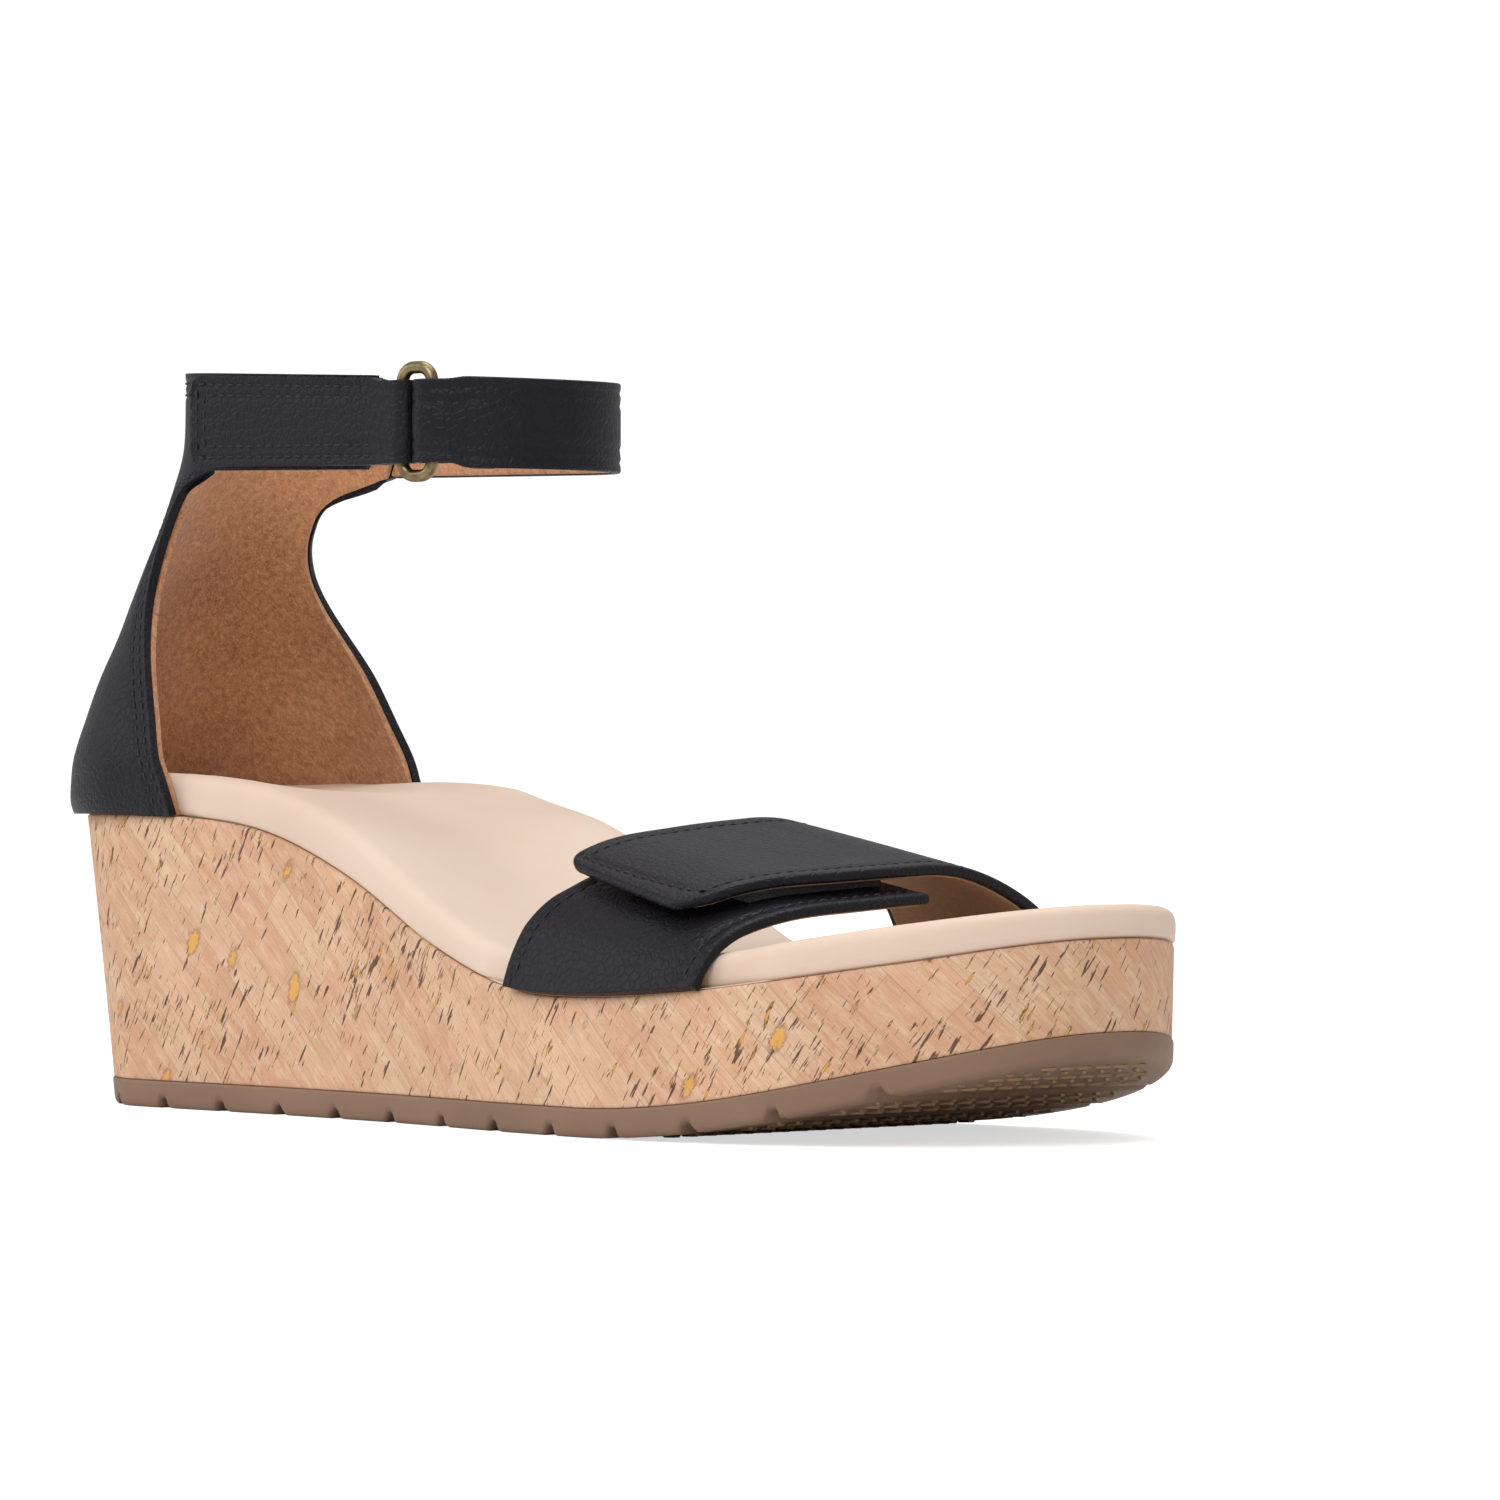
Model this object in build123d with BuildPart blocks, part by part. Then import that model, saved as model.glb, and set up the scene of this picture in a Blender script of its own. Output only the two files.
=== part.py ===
from build123d import *

import os
from math import hypot

# Right-foot wedge sandal: cork-wrapped wedge, two-piece vamp strap, hook-and-loop ankle strap with a ring.
#
# Millimetres, +X from heel to toe, +Z up, -Y the outer (lateral) side of a right foot. Everything is drawn
# with x = 0 at the back of the heel. save() then moves each piece back by HEEL_SEAT, so that the finished
# model's origin is on the ground under the middle of the heel, on the long axis of the sole.

# ---------------------------------------------------------------- driving dimensions
HEEL_SEAT = 30.0  # the finished model's origin is this far in front of the heel's back
HEEL_X = -1.5  # back of the wedge at its top edge
TOE_X = 256.0  # tip of the toe
HEEL_CAP = 31.0  # length of the rounded heel end
HEEL_POWER = 2.1
TOE_CAP = 53.0  # length of the rounded toe end
TOE_POWER = 2.35
TOE_SWING = 5.0  # how far the toe leans towards the big-toe side

SPRING_START = 169.0  # the sole leaves the ground here
SPRING_RATE = 0.00205  # and rises as this times the distance squared
OUTSOLE_THICK = 5.1
CORK_SHEET = 1.2
GAP = 0.04  # glue line left between neighbouring pieces

BED_INSET = 2.5  # the footbed is this much narrower inside the quarter
VAMP_INSET = 6.0  # and this much narrower where the vamp straps pull against it
VAMP_ZONE = (143.0, 214.0)  # the stretch of the sole that the vamp straps cover
COVER_THICK = 1.0
BOARD_THICK = 1.5

LEATHER = 1.2
LINING = 1.1
STIFFENER = 0.8  # heel counter, and the tape inside the band
LAYERS = LEATHER + STIFFENER + LINING + 2 * GAP
STRAP_THICK = 2.5  # two leathers back to back
TAPE = 0.8  # each half of the hook-and-loop
TAPE_GAP = 0.06  # clearance between the closed halves
PATCH_GAP = 0.45  # clearance under the loop half

BAND_BACK = (49.2, 1.2, 25.3)  # x, y and outside radius of the band behind the ankle
STRAP_FRONT = (99.2, 0.0, 23.6)  # the same in front of the ankle
BAND_END = 90.0  # front end of the band on the lateral side
STRAP_START = 43.0  # where the narrower strap takes over on the medial side
STRAP_CREASE = 96.0  # where the strap bends when it opens
TAB_TIP = 47.5  # free end of the closure tab

RING_TURN = 14.0  # degrees round the front of the loop, from the lateral side
RING_WIRE = 1.15  # wire radius
RING_HALF = 3.25  # half the distance between the two bars
RING_HEIGHT = 22.1
RING_CORNER = 2.6
EYE_CLEAR = 0.05

VAMP_CROWN = 50.0  # height of the vamp's inside surface at x = 160
VAMP_FALL = 0.205  # and its fall per millimetre towards the toe
VAMP_CLEAR = 0.15
VAMP_SPLIT = 13.0  # y of the line where the vamp flap bends open
VAMP_TIP = 6.0  # y of the hidden end of the lateral vamp strap

# half-widths of the sole, lateral and medial, along x
LATERAL = [(-1.5, 28.5), (30, 31.5), (72, 32), (113, 34.5), (154, 41), (184, 44), (220, 41), (256, 35)]
MEDIAL = [(-1.5, 28.5), (30, 31.5), (72, 31), (113, 28.5), (154, 33.5), (184, 39), (220, 39.5), (256, 35)]
# height of the wedge's top edge, and of the footbed's rim above it
WEDGE_TOP = [(-1.5, 55.3), (48, 54.9), (73, 52.2), (97, 44.6), (124, 32.6), (150, 25.4), (172, 24.4),
             (202, 26.4), (236, 31.2), (256, 35.3)]
RIM = [(-1.5, 8.6), (60, 8.0), (97, 8.8), (124, 7.4), (150, 6.2), (172, 6.0), (202, 6.3), (236, 6.8), (256, 6.2)]
# the back of the upper: height, centre x and radius of its rounded back, radius at its front end
QUARTER = [(53.0, 30.0, 32.6, 31.4), (57, 28.9, 33.5, 31.8), (61, 29.3, 33.8, 31.8), (66, 30.2, 33.8, 31.2),
           (73, 30.7, 32.0, 29.4), (81, 31.6, 29.9, 27.0), (89, 32.8, 27.3, 24.4), (96, 33.4, 25.2, 22.4),
           (103, 35.4, 23.9, 21.0), (110, 39.9, 24.0, 20.0), (117, 44.8, 24.8, 19.5), (124, 48.4, 25.2, 19.1),
           (131, 49.2, 25.3, 19.0), (142, 49.2, 25.3, 19.0)]
# front edge of the quarter seen from the side, lateral and medial
LATERAL_EDGE = [(46.5, 52), (45.6, 58), (42, 66), (35.5, 80), (29, 94), (27.8, 102), (30, 110), (37, 117),
                (47, 120.1)]
MEDIAL_EDGE = [(43.5, 52), (42.8, 58), (39.5, 66), (33, 80), (25.5, 94), (23.5, 102), (25.5, 110), (31, 116.4),
               (43, 120.1)]
# the vamp's cross-section: share of the way from the lateral to the medial edge, share of its height
ARCH = [(0, 0), (0.02, 0.22), (0.05, 0.42), (0.11, 0.61), (0.24, 0.79), (0.42, 0.885), (0.6, 0.955),
        (0.74, 1.0), (0.86, 0.9), (0.94, 0.68), (0.98, 0.38), (1, 0)]


# ---------------------------------------------------------------- shape functions
def smooth(table, x):
    """Cubic through the table's points, with slopes taken from the neighbours."""
    if x <= table[0][0]:
        return table[0][1]
    if x >= table[-1][0]:
        return table[-1][1]
    i = max(k for k in range(len(table) - 1) if table[k][0] <= x)

    def slope(k):
        a, b = max(k - 1, 0), min(k + 1, len(table) - 1)
        return (table[b][1] - table[a][1]) / (table[b][0] - table[a][0])

    (x0, y0), (x1, y1) = table[i], table[i + 1]
    h = x1 - x0
    t = (x - x0) / h
    return (
        y0 * (1 + 2 * t) * (1 - t) ** 2
        + slope(i) * h * t * (1 - t) ** 2
        + y1 * t * t * (3 - 2 * t)
        + slope(i + 1) * h * t * t * (t - 1)
    )


def clamp(t):
    return min(max(t, 0.0), 1.0)


def wedge_top(x):
    return smooth(WEDGE_TOP, x)


def rim(x):
    return wedge_top(x) + smooth(RIM, x)


def ground(x):
    return SPRING_RATE * max(x - SPRING_START, 0.0) ** 2


def outsole_top(x):
    return ground(x) + OUTSOLE_THICK - 1.2 * clamp((x - 215) / 41) ** 2


def edge_y(x, side):
    """The sole's plan outline at a station; side is -1 for lateral and 1 for medial."""
    cap = 1.0
    if x < HEEL_X + HEEL_CAP:
        cap = (1 - clamp((HEEL_X + HEEL_CAP - x) / HEEL_CAP) ** HEEL_POWER) ** (1 / HEEL_POWER)
    if x > TOE_X - TOE_CAP:
        cap = (1 - clamp((x - TOE_X + TOE_CAP) / TOE_CAP) ** TOE_POWER) ** (1 / TOE_POWER)
    centre = TOE_SWING * clamp((x - 123) / 133) ** 2
    return centre + side * smooth(LATERAL if side < 0 else MEDIAL, x) * cap


def outline_point(turn):
    """Point of the sole's plan outline; turn 0 is the heel, 0.5 the toe, below 0.5 the lateral side."""
    x = HEEL_X + (TOE_X - HEEL_X) * (1 - cos_turn(turn)) / 2
    return x, edge_y(x, -1 if turn <= 0.5 else 1)


def cos_turn(turn):
    return Vector(1, 0, 0).rotate(Axis.Z, 360 * turn).X


def outline(height, grow=0.0, count=56):
    """Plan outline of the wedge's wall at a height. The wall leans in towards the ground at the heel."""
    points = []
    for i in range(count):
        turn = i / count
        x, y = outline_point(turn)
        ax, ay = outline_point((turn - 0.004) % 1)
        bx, by = outline_point((turn + 0.004) % 1)
        length = hypot(bx - ax, by - ay)
        nx, ny = (by - ay) / length, (ax - bx) / length
        lean = (0.04 + 0.11 * max(-nx, 0)) * clamp((150 - x) / 110) + 0.03 * max(nx, 0)
        out = grow(x) if callable(grow) else grow
        out -= lean * (wedge_top(x) - height)
        points.append((x + out * nx, y + out * ny))
    return points


def envelope(grow=0.0, low=-3.0, high=75.0):
    """Solid whose side is the wedge's wall, grown outwards by grow."""
    with BuildPart() as body:
        for height in (low, high):
            with BuildSketch(Plane.XY.offset(height)):
                with BuildLine():
                    Spline(*outline(height, grow), periodic=True)
                make_face()
        loft(ruled=True)
    return body.part


STATIONS = [-20 + 295 * i / 30 for i in range(31)]


def side_slab(lower, upper, start=-20.0, end=275.0, y_low=-60.0, y_high=60.0):
    """Solid between two side-view curves, from start to end and from y_low to y_high."""
    with BuildPart() as slab:
        with BuildSketch(Plane.XZ.offset(-y_high)):
            with BuildLine():
                low = Spline(*[(x, lower(x)) for x in STATIONS])
                high = Spline(*[(x, upper(x)) for x in STATIONS])
                Line(low @ 0, high @ 0)
                Line(low @ 1, high @ 1)
            make_face()
        extrude(amount=y_high - y_low)
        if start > STATIONS[0] or end < STATIONS[-1]:
            with Locations(((start + end) / 2, (y_low + y_high) / 2, 60)):
                Box(end - start, y_high - y_low + 2, 300, mode=Mode.INTERSECT)
    return slab.part


def save(part, label):
    piece = part.moved(Location((-HEEL_SEAT, 0, 0)))
    piece.label = label
    export_step(piece, f"parts/{label}.step")


os.makedirs("parts", exist_ok=True)

# ---------------------------------------------------------------- sole unit
wall = envelope()
wall_in = envelope(-CORK_SHEET)
wall_core = envelope(-CORK_SHEET - GAP)
wall_sole = envelope(0.3)

wedge_slab = side_slab(lambda x: outsole_top(x) + GAP, wedge_top)

with BuildPart() as cork_wrap:
    add(wall)
    add(wall_in, mode=Mode.SUBTRACT)
    add(wedge_slab, mode=Mode.INTERSECT)
save(cork_wrap.part, "cork_wrap")

SHANK_START, SHANK_END, SHANK_HALF, SHANK_THICK = 38.0, 150.0, 6.0, 1.6
shank_slab = side_slab(
    lambda x: wedge_top(x) - SHANK_THICK - 0.1,
    lambda x: wedge_top(x) - 0.1,
    SHANK_START, SHANK_END, -SHANK_HALF, SHANK_HALF,
)
with BuildPart() as shank:
    add(shank_slab)
save(shank.part, "shank")

shank_pocket = side_slab(
    lambda x: wedge_top(x) - SHANK_THICK - 0.1 - GAP,
    lambda x: wedge_top(x) + 2,
    SHANK_START - GAP, SHANK_END + GAP, -SHANK_HALF - GAP, SHANK_HALF + GAP,
)
with BuildPart() as wedge_core:
    add(wall_core)
    add(wedge_slab, mode=Mode.INTERSECT)
    add(shank_pocket, mode=Mode.SUBTRACT)
save(wedge_core.part, "wedge_core")

GROOVE_XS = [23 + 17.5 * i for i in range(13)]
TOE_STATIONS = [SPRING_START + (STATIONS[-1] - SPRING_START) * i / 8 for i in range(9)]
with BuildPart() as outsole_slab:
    with BuildSketch(Plane.XZ.offset(-60)):
        with BuildLine():
            flat = Line((STATIONS[0], 0), (SPRING_START, 0))
            spring = Spline(*[(x, ground(x)) for x in TOE_STATIONS])
            top = Spline(*[(x, outsole_top(x)) for x in STATIONS])
            Line(flat @ 0, top @ 0)
            Line(spring @ 1, top @ 1)
        make_face()
    extrude(amount=120)
with BuildPart() as outsole:
    add(wall_sole)
    add(outsole_slab.part, mode=Mode.INTERSECT)
    # a full-width tread groove every 17.5 mm, each following the underside
    with BuildSketch(Plane.XZ.offset(-60)):
        for x in GROOVE_XS:
            with Locations((x, ground(x) + 0.6)):
                Trapezoid(3.2, 2.8, 78)
    extrude(amount=120, mode=Mode.SUBTRACT)
save(outsole.part, "outsole")

# ---------------------------------------------------------------- footbed
def bed(x, y):
    """Height of the footbed's surface: a heel cup, and a raised arch on the medial side."""
    across = clamp((y + 8) / 34)
    arch = 4.6 * clamp(1 - ((x - 122) / 42) ** 2) ** 2 * across * across * (3 - 2 * across)
    medial_drop = 2.4 * clamp((75 - x) / 40) * across
    cup = 3.0 * clamp((85 - x) / 30) * clamp(1 - (y / 27) ** 2) * clamp((x + 3) / 22)
    return rim(x) + arch - cup - medial_drop


def bed_block(drop):
    """Everything from well below the footbed's surface up to drop below that surface."""
    columns = [-8 + 270 * i / 26 for i in range(27)]
    rows = [-50 + 100 * j / 12 for j in range(13)]
    grid = [[Vector(x, y, bed(x, y) - drop) for y in rows] for x in columns]
    face = Face.make_surface_from_array_of_points(grid, tol=0.02)
    with BuildPart() as block:
        extrude(face, amount=45, dir=(0, 0, -1))
    return block.part


def step_up(t):
    t = clamp(t)
    return t * t * (3 - 2 * t)


def bed_inset(x):
    """How far the footbed's side stands in from the wedge's wall, inside the quarter and under the vamp."""
    rear, front = VAMP_ZONE
    under_vamp = step_up((x - rear + 16) / 16) * step_up((front + 16 - x) / 16)
    return BED_INSET * (1 - step_up((x - 44) / 16)) + VAMP_INSET * under_vamp


def above_wedge(rise):
    return side_slab(lambda x: wedge_top(x) + rise, lambda x: wedge_top(x) + 45)


bed_top = bed_block(0)
bed_under = bed_block(COVER_THICK)
bed_foam_top = bed_block(COVER_THICK + GAP)
wall_bed = envelope(lambda x: -bed_inset(x))
wall_lining = envelope(lambda x: -bed_inset(x) - COVER_THICK)
wall_foam = envelope(lambda x: -bed_inset(x) - COVER_THICK - GAP)
board_low = GAP
foam_low = board_low + BOARD_THICK + GAP

with BuildPart() as insole_board:
    add(wall_foam)
    add(
        side_slab(lambda x: wedge_top(x) + board_low, lambda x: wedge_top(x) + board_low + BOARD_THICK),
        mode=Mode.INTERSECT,
    )
save(insole_board.part, "insole_board")

with BuildPart() as footbed_foam:
    add(wall_foam)
    add(bed_foam_top, mode=Mode.INTERSECT)
    add(above_wedge(foam_low), mode=Mode.INTERSECT)
save(footbed_foam.part, "footbed_foam")

with BuildPart() as footbed_hollow:
    add(wall_lining)
    add(bed_under, mode=Mode.INTERSECT)
with BuildPart() as footbed_cover:
    add(wall_bed)
    add(bed_top, mode=Mode.INTERSECT)
    add(above_wedge(GAP), mode=Mode.INTERSECT)
    add(footbed_hollow.part, mode=Mode.SUBTRACT)
save(footbed_cover.part, "footbed_cover")


# ---------------------------------------------------------------- back of the upper and its band
def band_low(x):
    return 121.1 - 0.0216 * x


def band_high(x):
    return 140.6 - 0.046 * x


def counter_shell(outer, inner):
    """Wall of the quarter between two depths below its outside surface."""
    with BuildPart() as shell:
        for depth, mode in ((outer, Mode.ADD), (inner, Mode.SUBTRACT)):
            for height, x, radius, front in QUARTER:
                with BuildSketch(Plane.XY.offset(height)):
                    shift = BAND_BACK[1] * clamp((height - 70) / 50)
                    with Locations((x, shift)):
                        Circle(radius - depth)
                    with Locations((STRAP_FRONT[0], 0)):
                        Circle(front - depth)
                    make_hull()
            loft(mode=mode)
    return shell.part


def edge_outline(edge, band_end):
    """Side view of the quarter with its band: front edge from the wedge up, then round the band."""
    with BuildPart() as block:
        with BuildSketch(Plane.XZ.offset(-60 if edge is MEDIAL_EDGE else 0)):
            with BuildLine():
                front = Spline(*edge)
                Polyline(
                    front @ 1,
                    (band_end, band_low(band_end)),
                    (band_end, band_high(band_end)),
                    (-20, band_high(-20)),
                    (-20, edge[0][1]),
                    front @ 0,
                )
            make_face()
        extrude(amount=60)
    return block.part


lateral_side = edge_outline(LATERAL_EDGE, BAND_END)
medial_side = edge_outline(MEDIAL_EDGE, STRAP_START)
with BuildPart() as quarter_sides:
    add(lateral_side)
    add(medial_side)

above_edge = side_slab(lambda x: wedge_top(x) + GAP, lambda x: wedge_top(x) + 110, -20, 100)

with BuildPart() as heel_counter:
    add(counter_shell(LEATHER + GAP, LEATHER + GAP + STIFFENER))
    with BuildSketch(Plane.XZ.offset(-60)):
        with BuildLine():
            Polyline((-20, 60), (38, 60), (33, 74), (24, 86), (-20, 96), close=True)
        make_face()
    extrude(amount=120, mode=Mode.INTERSECT)
save(heel_counter.part, "heel_counter")

with BuildPart() as quarter_outer:
    add(counter_shell(0, LEATHER))
    add(quarter_sides.part, mode=Mode.INTERSECT)
    add(above_edge, mode=Mode.INTERSECT)
save(quarter_outer.part, "quarter_outer")

with BuildPart() as quarter_lining:
    add(counter_shell(LAYERS - LINING, LAYERS))
    add(quarter_sides.part, mode=Mode.INTERSECT)
    add(above_edge, mode=Mode.INTERSECT)
save(quarter_lining.part, "quarter_lining")


# ---------------------------------------------------------------- ankle strap, ring and closure tab
def loop_wall(back, front, outer, inner):
    """Upright wall round the ankle between two offsets from the line that hulls the two circles."""
    with BuildPart() as wall_part:
        for grow, mode in ((outer, Mode.ADD), (inner, Mode.SUBTRACT)):
            with BuildSketch(Plane.XY.offset(110)):
                for x, y, radius in (back, front):
                    with Locations((x, y)):
                        Circle(radius + grow)
                make_hull()
            extrude(amount=40, mode=mode)
    return wall_part.part


def band_slab(trim, x_low, x_high, y_low, y_high):
    """The height of the ankle strap, less trim at each edge, inside a plan-view rectangle."""
    with BuildPart() as slab:
        with BuildSketch(Plane.XZ.offset(-y_high)):
            with BuildLine():
                Polyline(
                    (x_low, band_low(x_low) + trim),
                    (x_high, band_low(x_high) + trim),
                    (x_high, band_high(x_high) - trim),
                    (x_low, band_high(x_low) - trim),
                    close=True,
                )
            make_face()
        extrude(amount=y_high - y_low)
    return slab.part


HALF = STRAP_THICK / 2
strap_back = (BAND_BACK[0], BAND_BACK[1], BAND_BACK[2] - LAYERS / 2)
strap_front = (STRAP_FRONT[0], STRAP_FRONT[1], STRAP_FRONT[2] - HALF)
tab_back = (BAND_BACK[0], BAND_BACK[1], BAND_BACK[2] + PATCH_GAP + 2 * TAPE + TAPE_GAP + GAP + HALF)
band_front = (STRAP_FRONT[0], STRAP_FRONT[1], QUARTER[-1][3])

# the ring stands on the front curve of the strap's middle line
ring_out = Vector(0, -1, 0).rotate(Axis.Z, RING_TURN)
ring_along = Vector(1, 0, 0).rotate(Axis.Z, RING_TURN)
ring_centre = Vector(STRAP_FRONT[0], 0, 0) + ring_out * strap_front[2]
ring_z = (band_low(ring_centre.X) + band_high(ring_centre.X)) / 2
front_bar = ring_centre + ring_along * RING_HALF
rear_bar = ring_centre - ring_along * RING_HALF
ring_end = RING_HEIGHT / 2 - RING_WIRE
eye_half = ring_end - RING_CORNER - 0.2

with BuildPart() as strap_ring:
    ring_plane = Plane(origin=ring_centre + Vector(0, 0, ring_z), x_dir=ring_along, z_dir=ring_out)
    with BuildLine(ring_plane) as ring_path:
        FilletPolyline(
            (RING_HALF, -ring_end), (RING_HALF, ring_end), (-RING_HALF, ring_end), (-RING_HALF, -ring_end),
            radius=RING_CORNER, close=True,
        )
    with BuildSketch(Plane(origin=ring_path.line @ 0, z_dir=ring_path.line % 0)):
        Circle(RING_WIRE)
    sweep()
save(strap_ring.part, "strap_ring")


def plan_block(*points):
    """Tall block over a plan-view polygon, for cutting the straps to length."""
    with BuildPart() as block:
        with BuildSketch():
            with BuildLine():
                Polyline(*points, close=True)
            make_face()
        extrude(amount=160)
    return block.part


def bar_eye(bar):
    """Leather fold round one bar of the ring."""
    with BuildPart() as eye:
        with BuildSketch(Plane.XY.offset(ring_z - eye_half)):
            with Locations((bar.X, bar.Y)):
                Circle(RING_WIRE + EYE_CLEAR + LEATHER)
                Circle(RING_WIRE + EYE_CLEAR, mode=Mode.SUBTRACT)
        extrude(amount=2 * eye_half)
    return eye.part


def xy(vector):
    return vector.X, vector.Y


EYE_REACH = 1.9  # the fold blends into the strap this far from the bar
LINING_BACK = 5.0  # the inner leather stops this far from the bar
anchor_block = plan_block((STRAP_START + 0.1, 0), (STRAP_CREASE, 0), (STRAP_CREASE, 60), (STRAP_START + 0.1, 60))


def strap_block(reach):
    start = front_bar + ring_along * reach
    return plan_block(
        (STRAP_CREASE + 0.1, 5), (STRAP_CREASE + 0.1, 50), (150, 50), (150, -60),
        xy(start + ring_out * 30), xy(start - ring_out * 9),
    )


def tab_block(reach):
    start = rear_bar - ring_along * reach
    return plan_block((TAB_TIP, 0), (TAB_TIP, -60), xy(start + ring_out * 30), xy(start - ring_out * 9))


strap_height = band_slab(0, -30, 150, -70, 70)
layer_outer = (HALF, GAP / 2)
layer_inner = (-GAP / 2, -HALF)

with BuildPart() as strap_anchor_outer:
    add(loop_wall(strap_back, strap_front, *layer_outer))
    add(anchor_block, mode=Mode.INTERSECT)
    add(strap_height, mode=Mode.INTERSECT)
save(strap_anchor_outer.part, "strap_anchor_outer")

with BuildPart() as strap_anchor_lining:
    add(loop_wall(strap_back, strap_front, *layer_inner))
    add(anchor_block, mode=Mode.INTERSECT)
    add(strap_height, mode=Mode.INTERSECT)
save(strap_anchor_lining.part, "strap_anchor_lining")

with BuildPart() as ankle_strap_outer:
    add(loop_wall(strap_back, strap_front, *layer_outer))
    add(strap_block(EYE_REACH), mode=Mode.INTERSECT)
    add(strap_height, mode=Mode.INTERSECT)
    add(bar_eye(front_bar))
save(ankle_strap_outer.part, "ankle_strap_outer")

with BuildPart() as ankle_strap_lining:
    add(loop_wall(strap_back, strap_front, *layer_inner))
    add(strap_block(LINING_BACK), mode=Mode.INTERSECT)
    add(strap_height, mode=Mode.INTERSECT)
save(ankle_strap_lining.part, "ankle_strap_lining")

TAB_TRIM = 0.7
tab_height = band_slab(TAB_TRIM, -30, 150, -70, 0)
with BuildPart() as tab_outer:
    add(loop_wall(tab_back, strap_front, *layer_outer))
    add(tab_block(EYE_REACH), mode=Mode.INTERSECT)
    add(tab_height, mode=Mode.INTERSECT)
    add(bar_eye(rear_bar))
save(tab_outer.part, "tab_outer")

with BuildPart() as tab_lining:
    add(loop_wall(tab_back, strap_front, *layer_inner))
    add(tab_block(LINING_BACK), mode=Mode.INTERSECT)
    add(tab_height, mode=Mode.INTERSECT)
save(tab_lining.part, "tab_lining")

PATCH_TRIM = 3.2
with BuildPart() as tab_hook_patch:
    add(loop_wall(tab_back, strap_front, -HALF - GAP, -HALF - GAP - TAPE))
    add(band_slab(PATCH_TRIM, TAB_TIP + 3.5, BAND_END - 6, -70, 0), mode=Mode.INTERSECT)
save(tab_hook_patch.part, "tab_hook_patch")

with BuildPart() as band_loop_patch:
    add(loop_wall(BAND_BACK, band_front, PATCH_GAP + TAPE, PATCH_GAP))
    add(band_slab(PATCH_TRIM - 0.6, TAB_TIP + 2.5, BAND_END - 3.5, -70, 0), mode=Mode.INTERSECT)
save(band_loop_patch.part, "band_loop_patch")


# ---------------------------------------------------------------- vamp straps
def vamp_point(x, share, rise):
    """Point on the vamp's arch at a station, raised along the arch's normal."""
    base = wedge_top(x) - 1.0
    top = VAMP_CROWN - VAMP_FALL * (x - 160)
    lateral, medial = edge_y(x, -1) - VAMP_CLEAR, edge_y(x, 1) + VAMP_CLEAR

    def at(t):
        return lateral + (medial - lateral) * t, base + (top - base) * smooth(ARCH, t)

    (ya, za), (yb, zb) = at(clamp(share - 0.004)), at(clamp(share + 0.004))
    y, z = at(share)
    length = hypot(yb - ya, zb - za)
    return Vector(x, y - rise * (zb - za) / length, z + rise * (yb - ya) / length)


def vamp_sheet(rear, front, low, high, rise, thick):
    """Sheet of leather over the arch from share low to high, between two edge curves."""
    grid = []
    for i in range(23):
        t = low + (high - low) * i / 22
        share = clamp((1 - Vector(1, 0, 0).rotate(Axis.Z, 180 * t).X) / 2)
        x_rear, x_front = smooth(rear, share), smooth(front, share)
        lift = rise(share) if callable(rise) else rise
        grid.append([vamp_point(x_rear + (x_front - x_rear) * j / 4, share, lift) for j in range(5)])
    face = Face.make_surface_from_array_of_points(grid, tol=0.03)
    outward = 1 if face.normal_at(face.center()).Z > 0 else -1
    with BuildPart() as sheet:
        thicken(face, amount=thick * outward)
    return sheet.part


def over_strap(share):
    """The upper strap rides over the lower one and the tape, then comes down to the medial foot."""
    blend = clamp((share - 0.62) / 0.34)
    return STACK * (1 - blend * blend * (3 - 2 * blend))


UNDER_REAR = [(0, 151), (0.05, 153.5), (0.15, 158), (0.4, 161.5), (0.7, 164)]
UNDER_FRONT = [(0, 201.5), (0.11, 203.5), (0.34, 205.5), (0.7, 207)]
OVER_REAR = [(0, 155.5), (0.3, 158.5), (0.6, 162), (0.8, 166), (1, 170.5)]
OVER_FRONT = [(0, 193), (0.1, 195.5), (0.34, 201), (0.6, 204), (0.8, 205.8), (1, 206.5)]
VAMP_GAP = 0.1  # between the layers of the vamp
STACK = LINING + LEATHER + 2 * TAPE + 4 * VAMP_GAP
above_foot = side_slab(lambda x: wedge_top(x) + GAP, lambda x: wedge_top(x) + 60)

UNDER_END = 0.63
OVER_START = 0.2
with BuildPart() as vamp_lateral_lining:
    add(vamp_sheet(UNDER_REAR, UNDER_FRONT, 0, UNDER_END, 0, LINING))
    add(above_foot, mode=Mode.INTERSECT)
    add(plan_block((120, -60), (240, -60), (240, VAMP_TIP), (120, VAMP_TIP)), mode=Mode.INTERSECT)
save(vamp_lateral_lining.part, "vamp_lateral_lining")

with BuildPart() as vamp_lateral_outer:
    add(vamp_sheet(UNDER_REAR, UNDER_FRONT, 0, UNDER_END, LINING + VAMP_GAP, LEATHER))
    add(above_foot, mode=Mode.INTERSECT)
    add(plan_block((120, -60), (240, -60), (240, VAMP_TIP), (120, VAMP_TIP)), mode=Mode.INTERSECT)
save(vamp_lateral_outer.part, "vamp_lateral_outer")

patch_block = plan_block((165, -25), (196, -25), (199, VAMP_TIP - 2), (167, VAMP_TIP - 2))
with BuildPart() as vamp_loop_patch:
    add(vamp_sheet(UNDER_REAR, UNDER_FRONT, 0.1, UNDER_END, LINING + LEATHER + 2 * VAMP_GAP, TAPE))
    add(patch_block, mode=Mode.INTERSECT)
save(vamp_loop_patch.part, "vamp_loop_patch")

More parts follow.
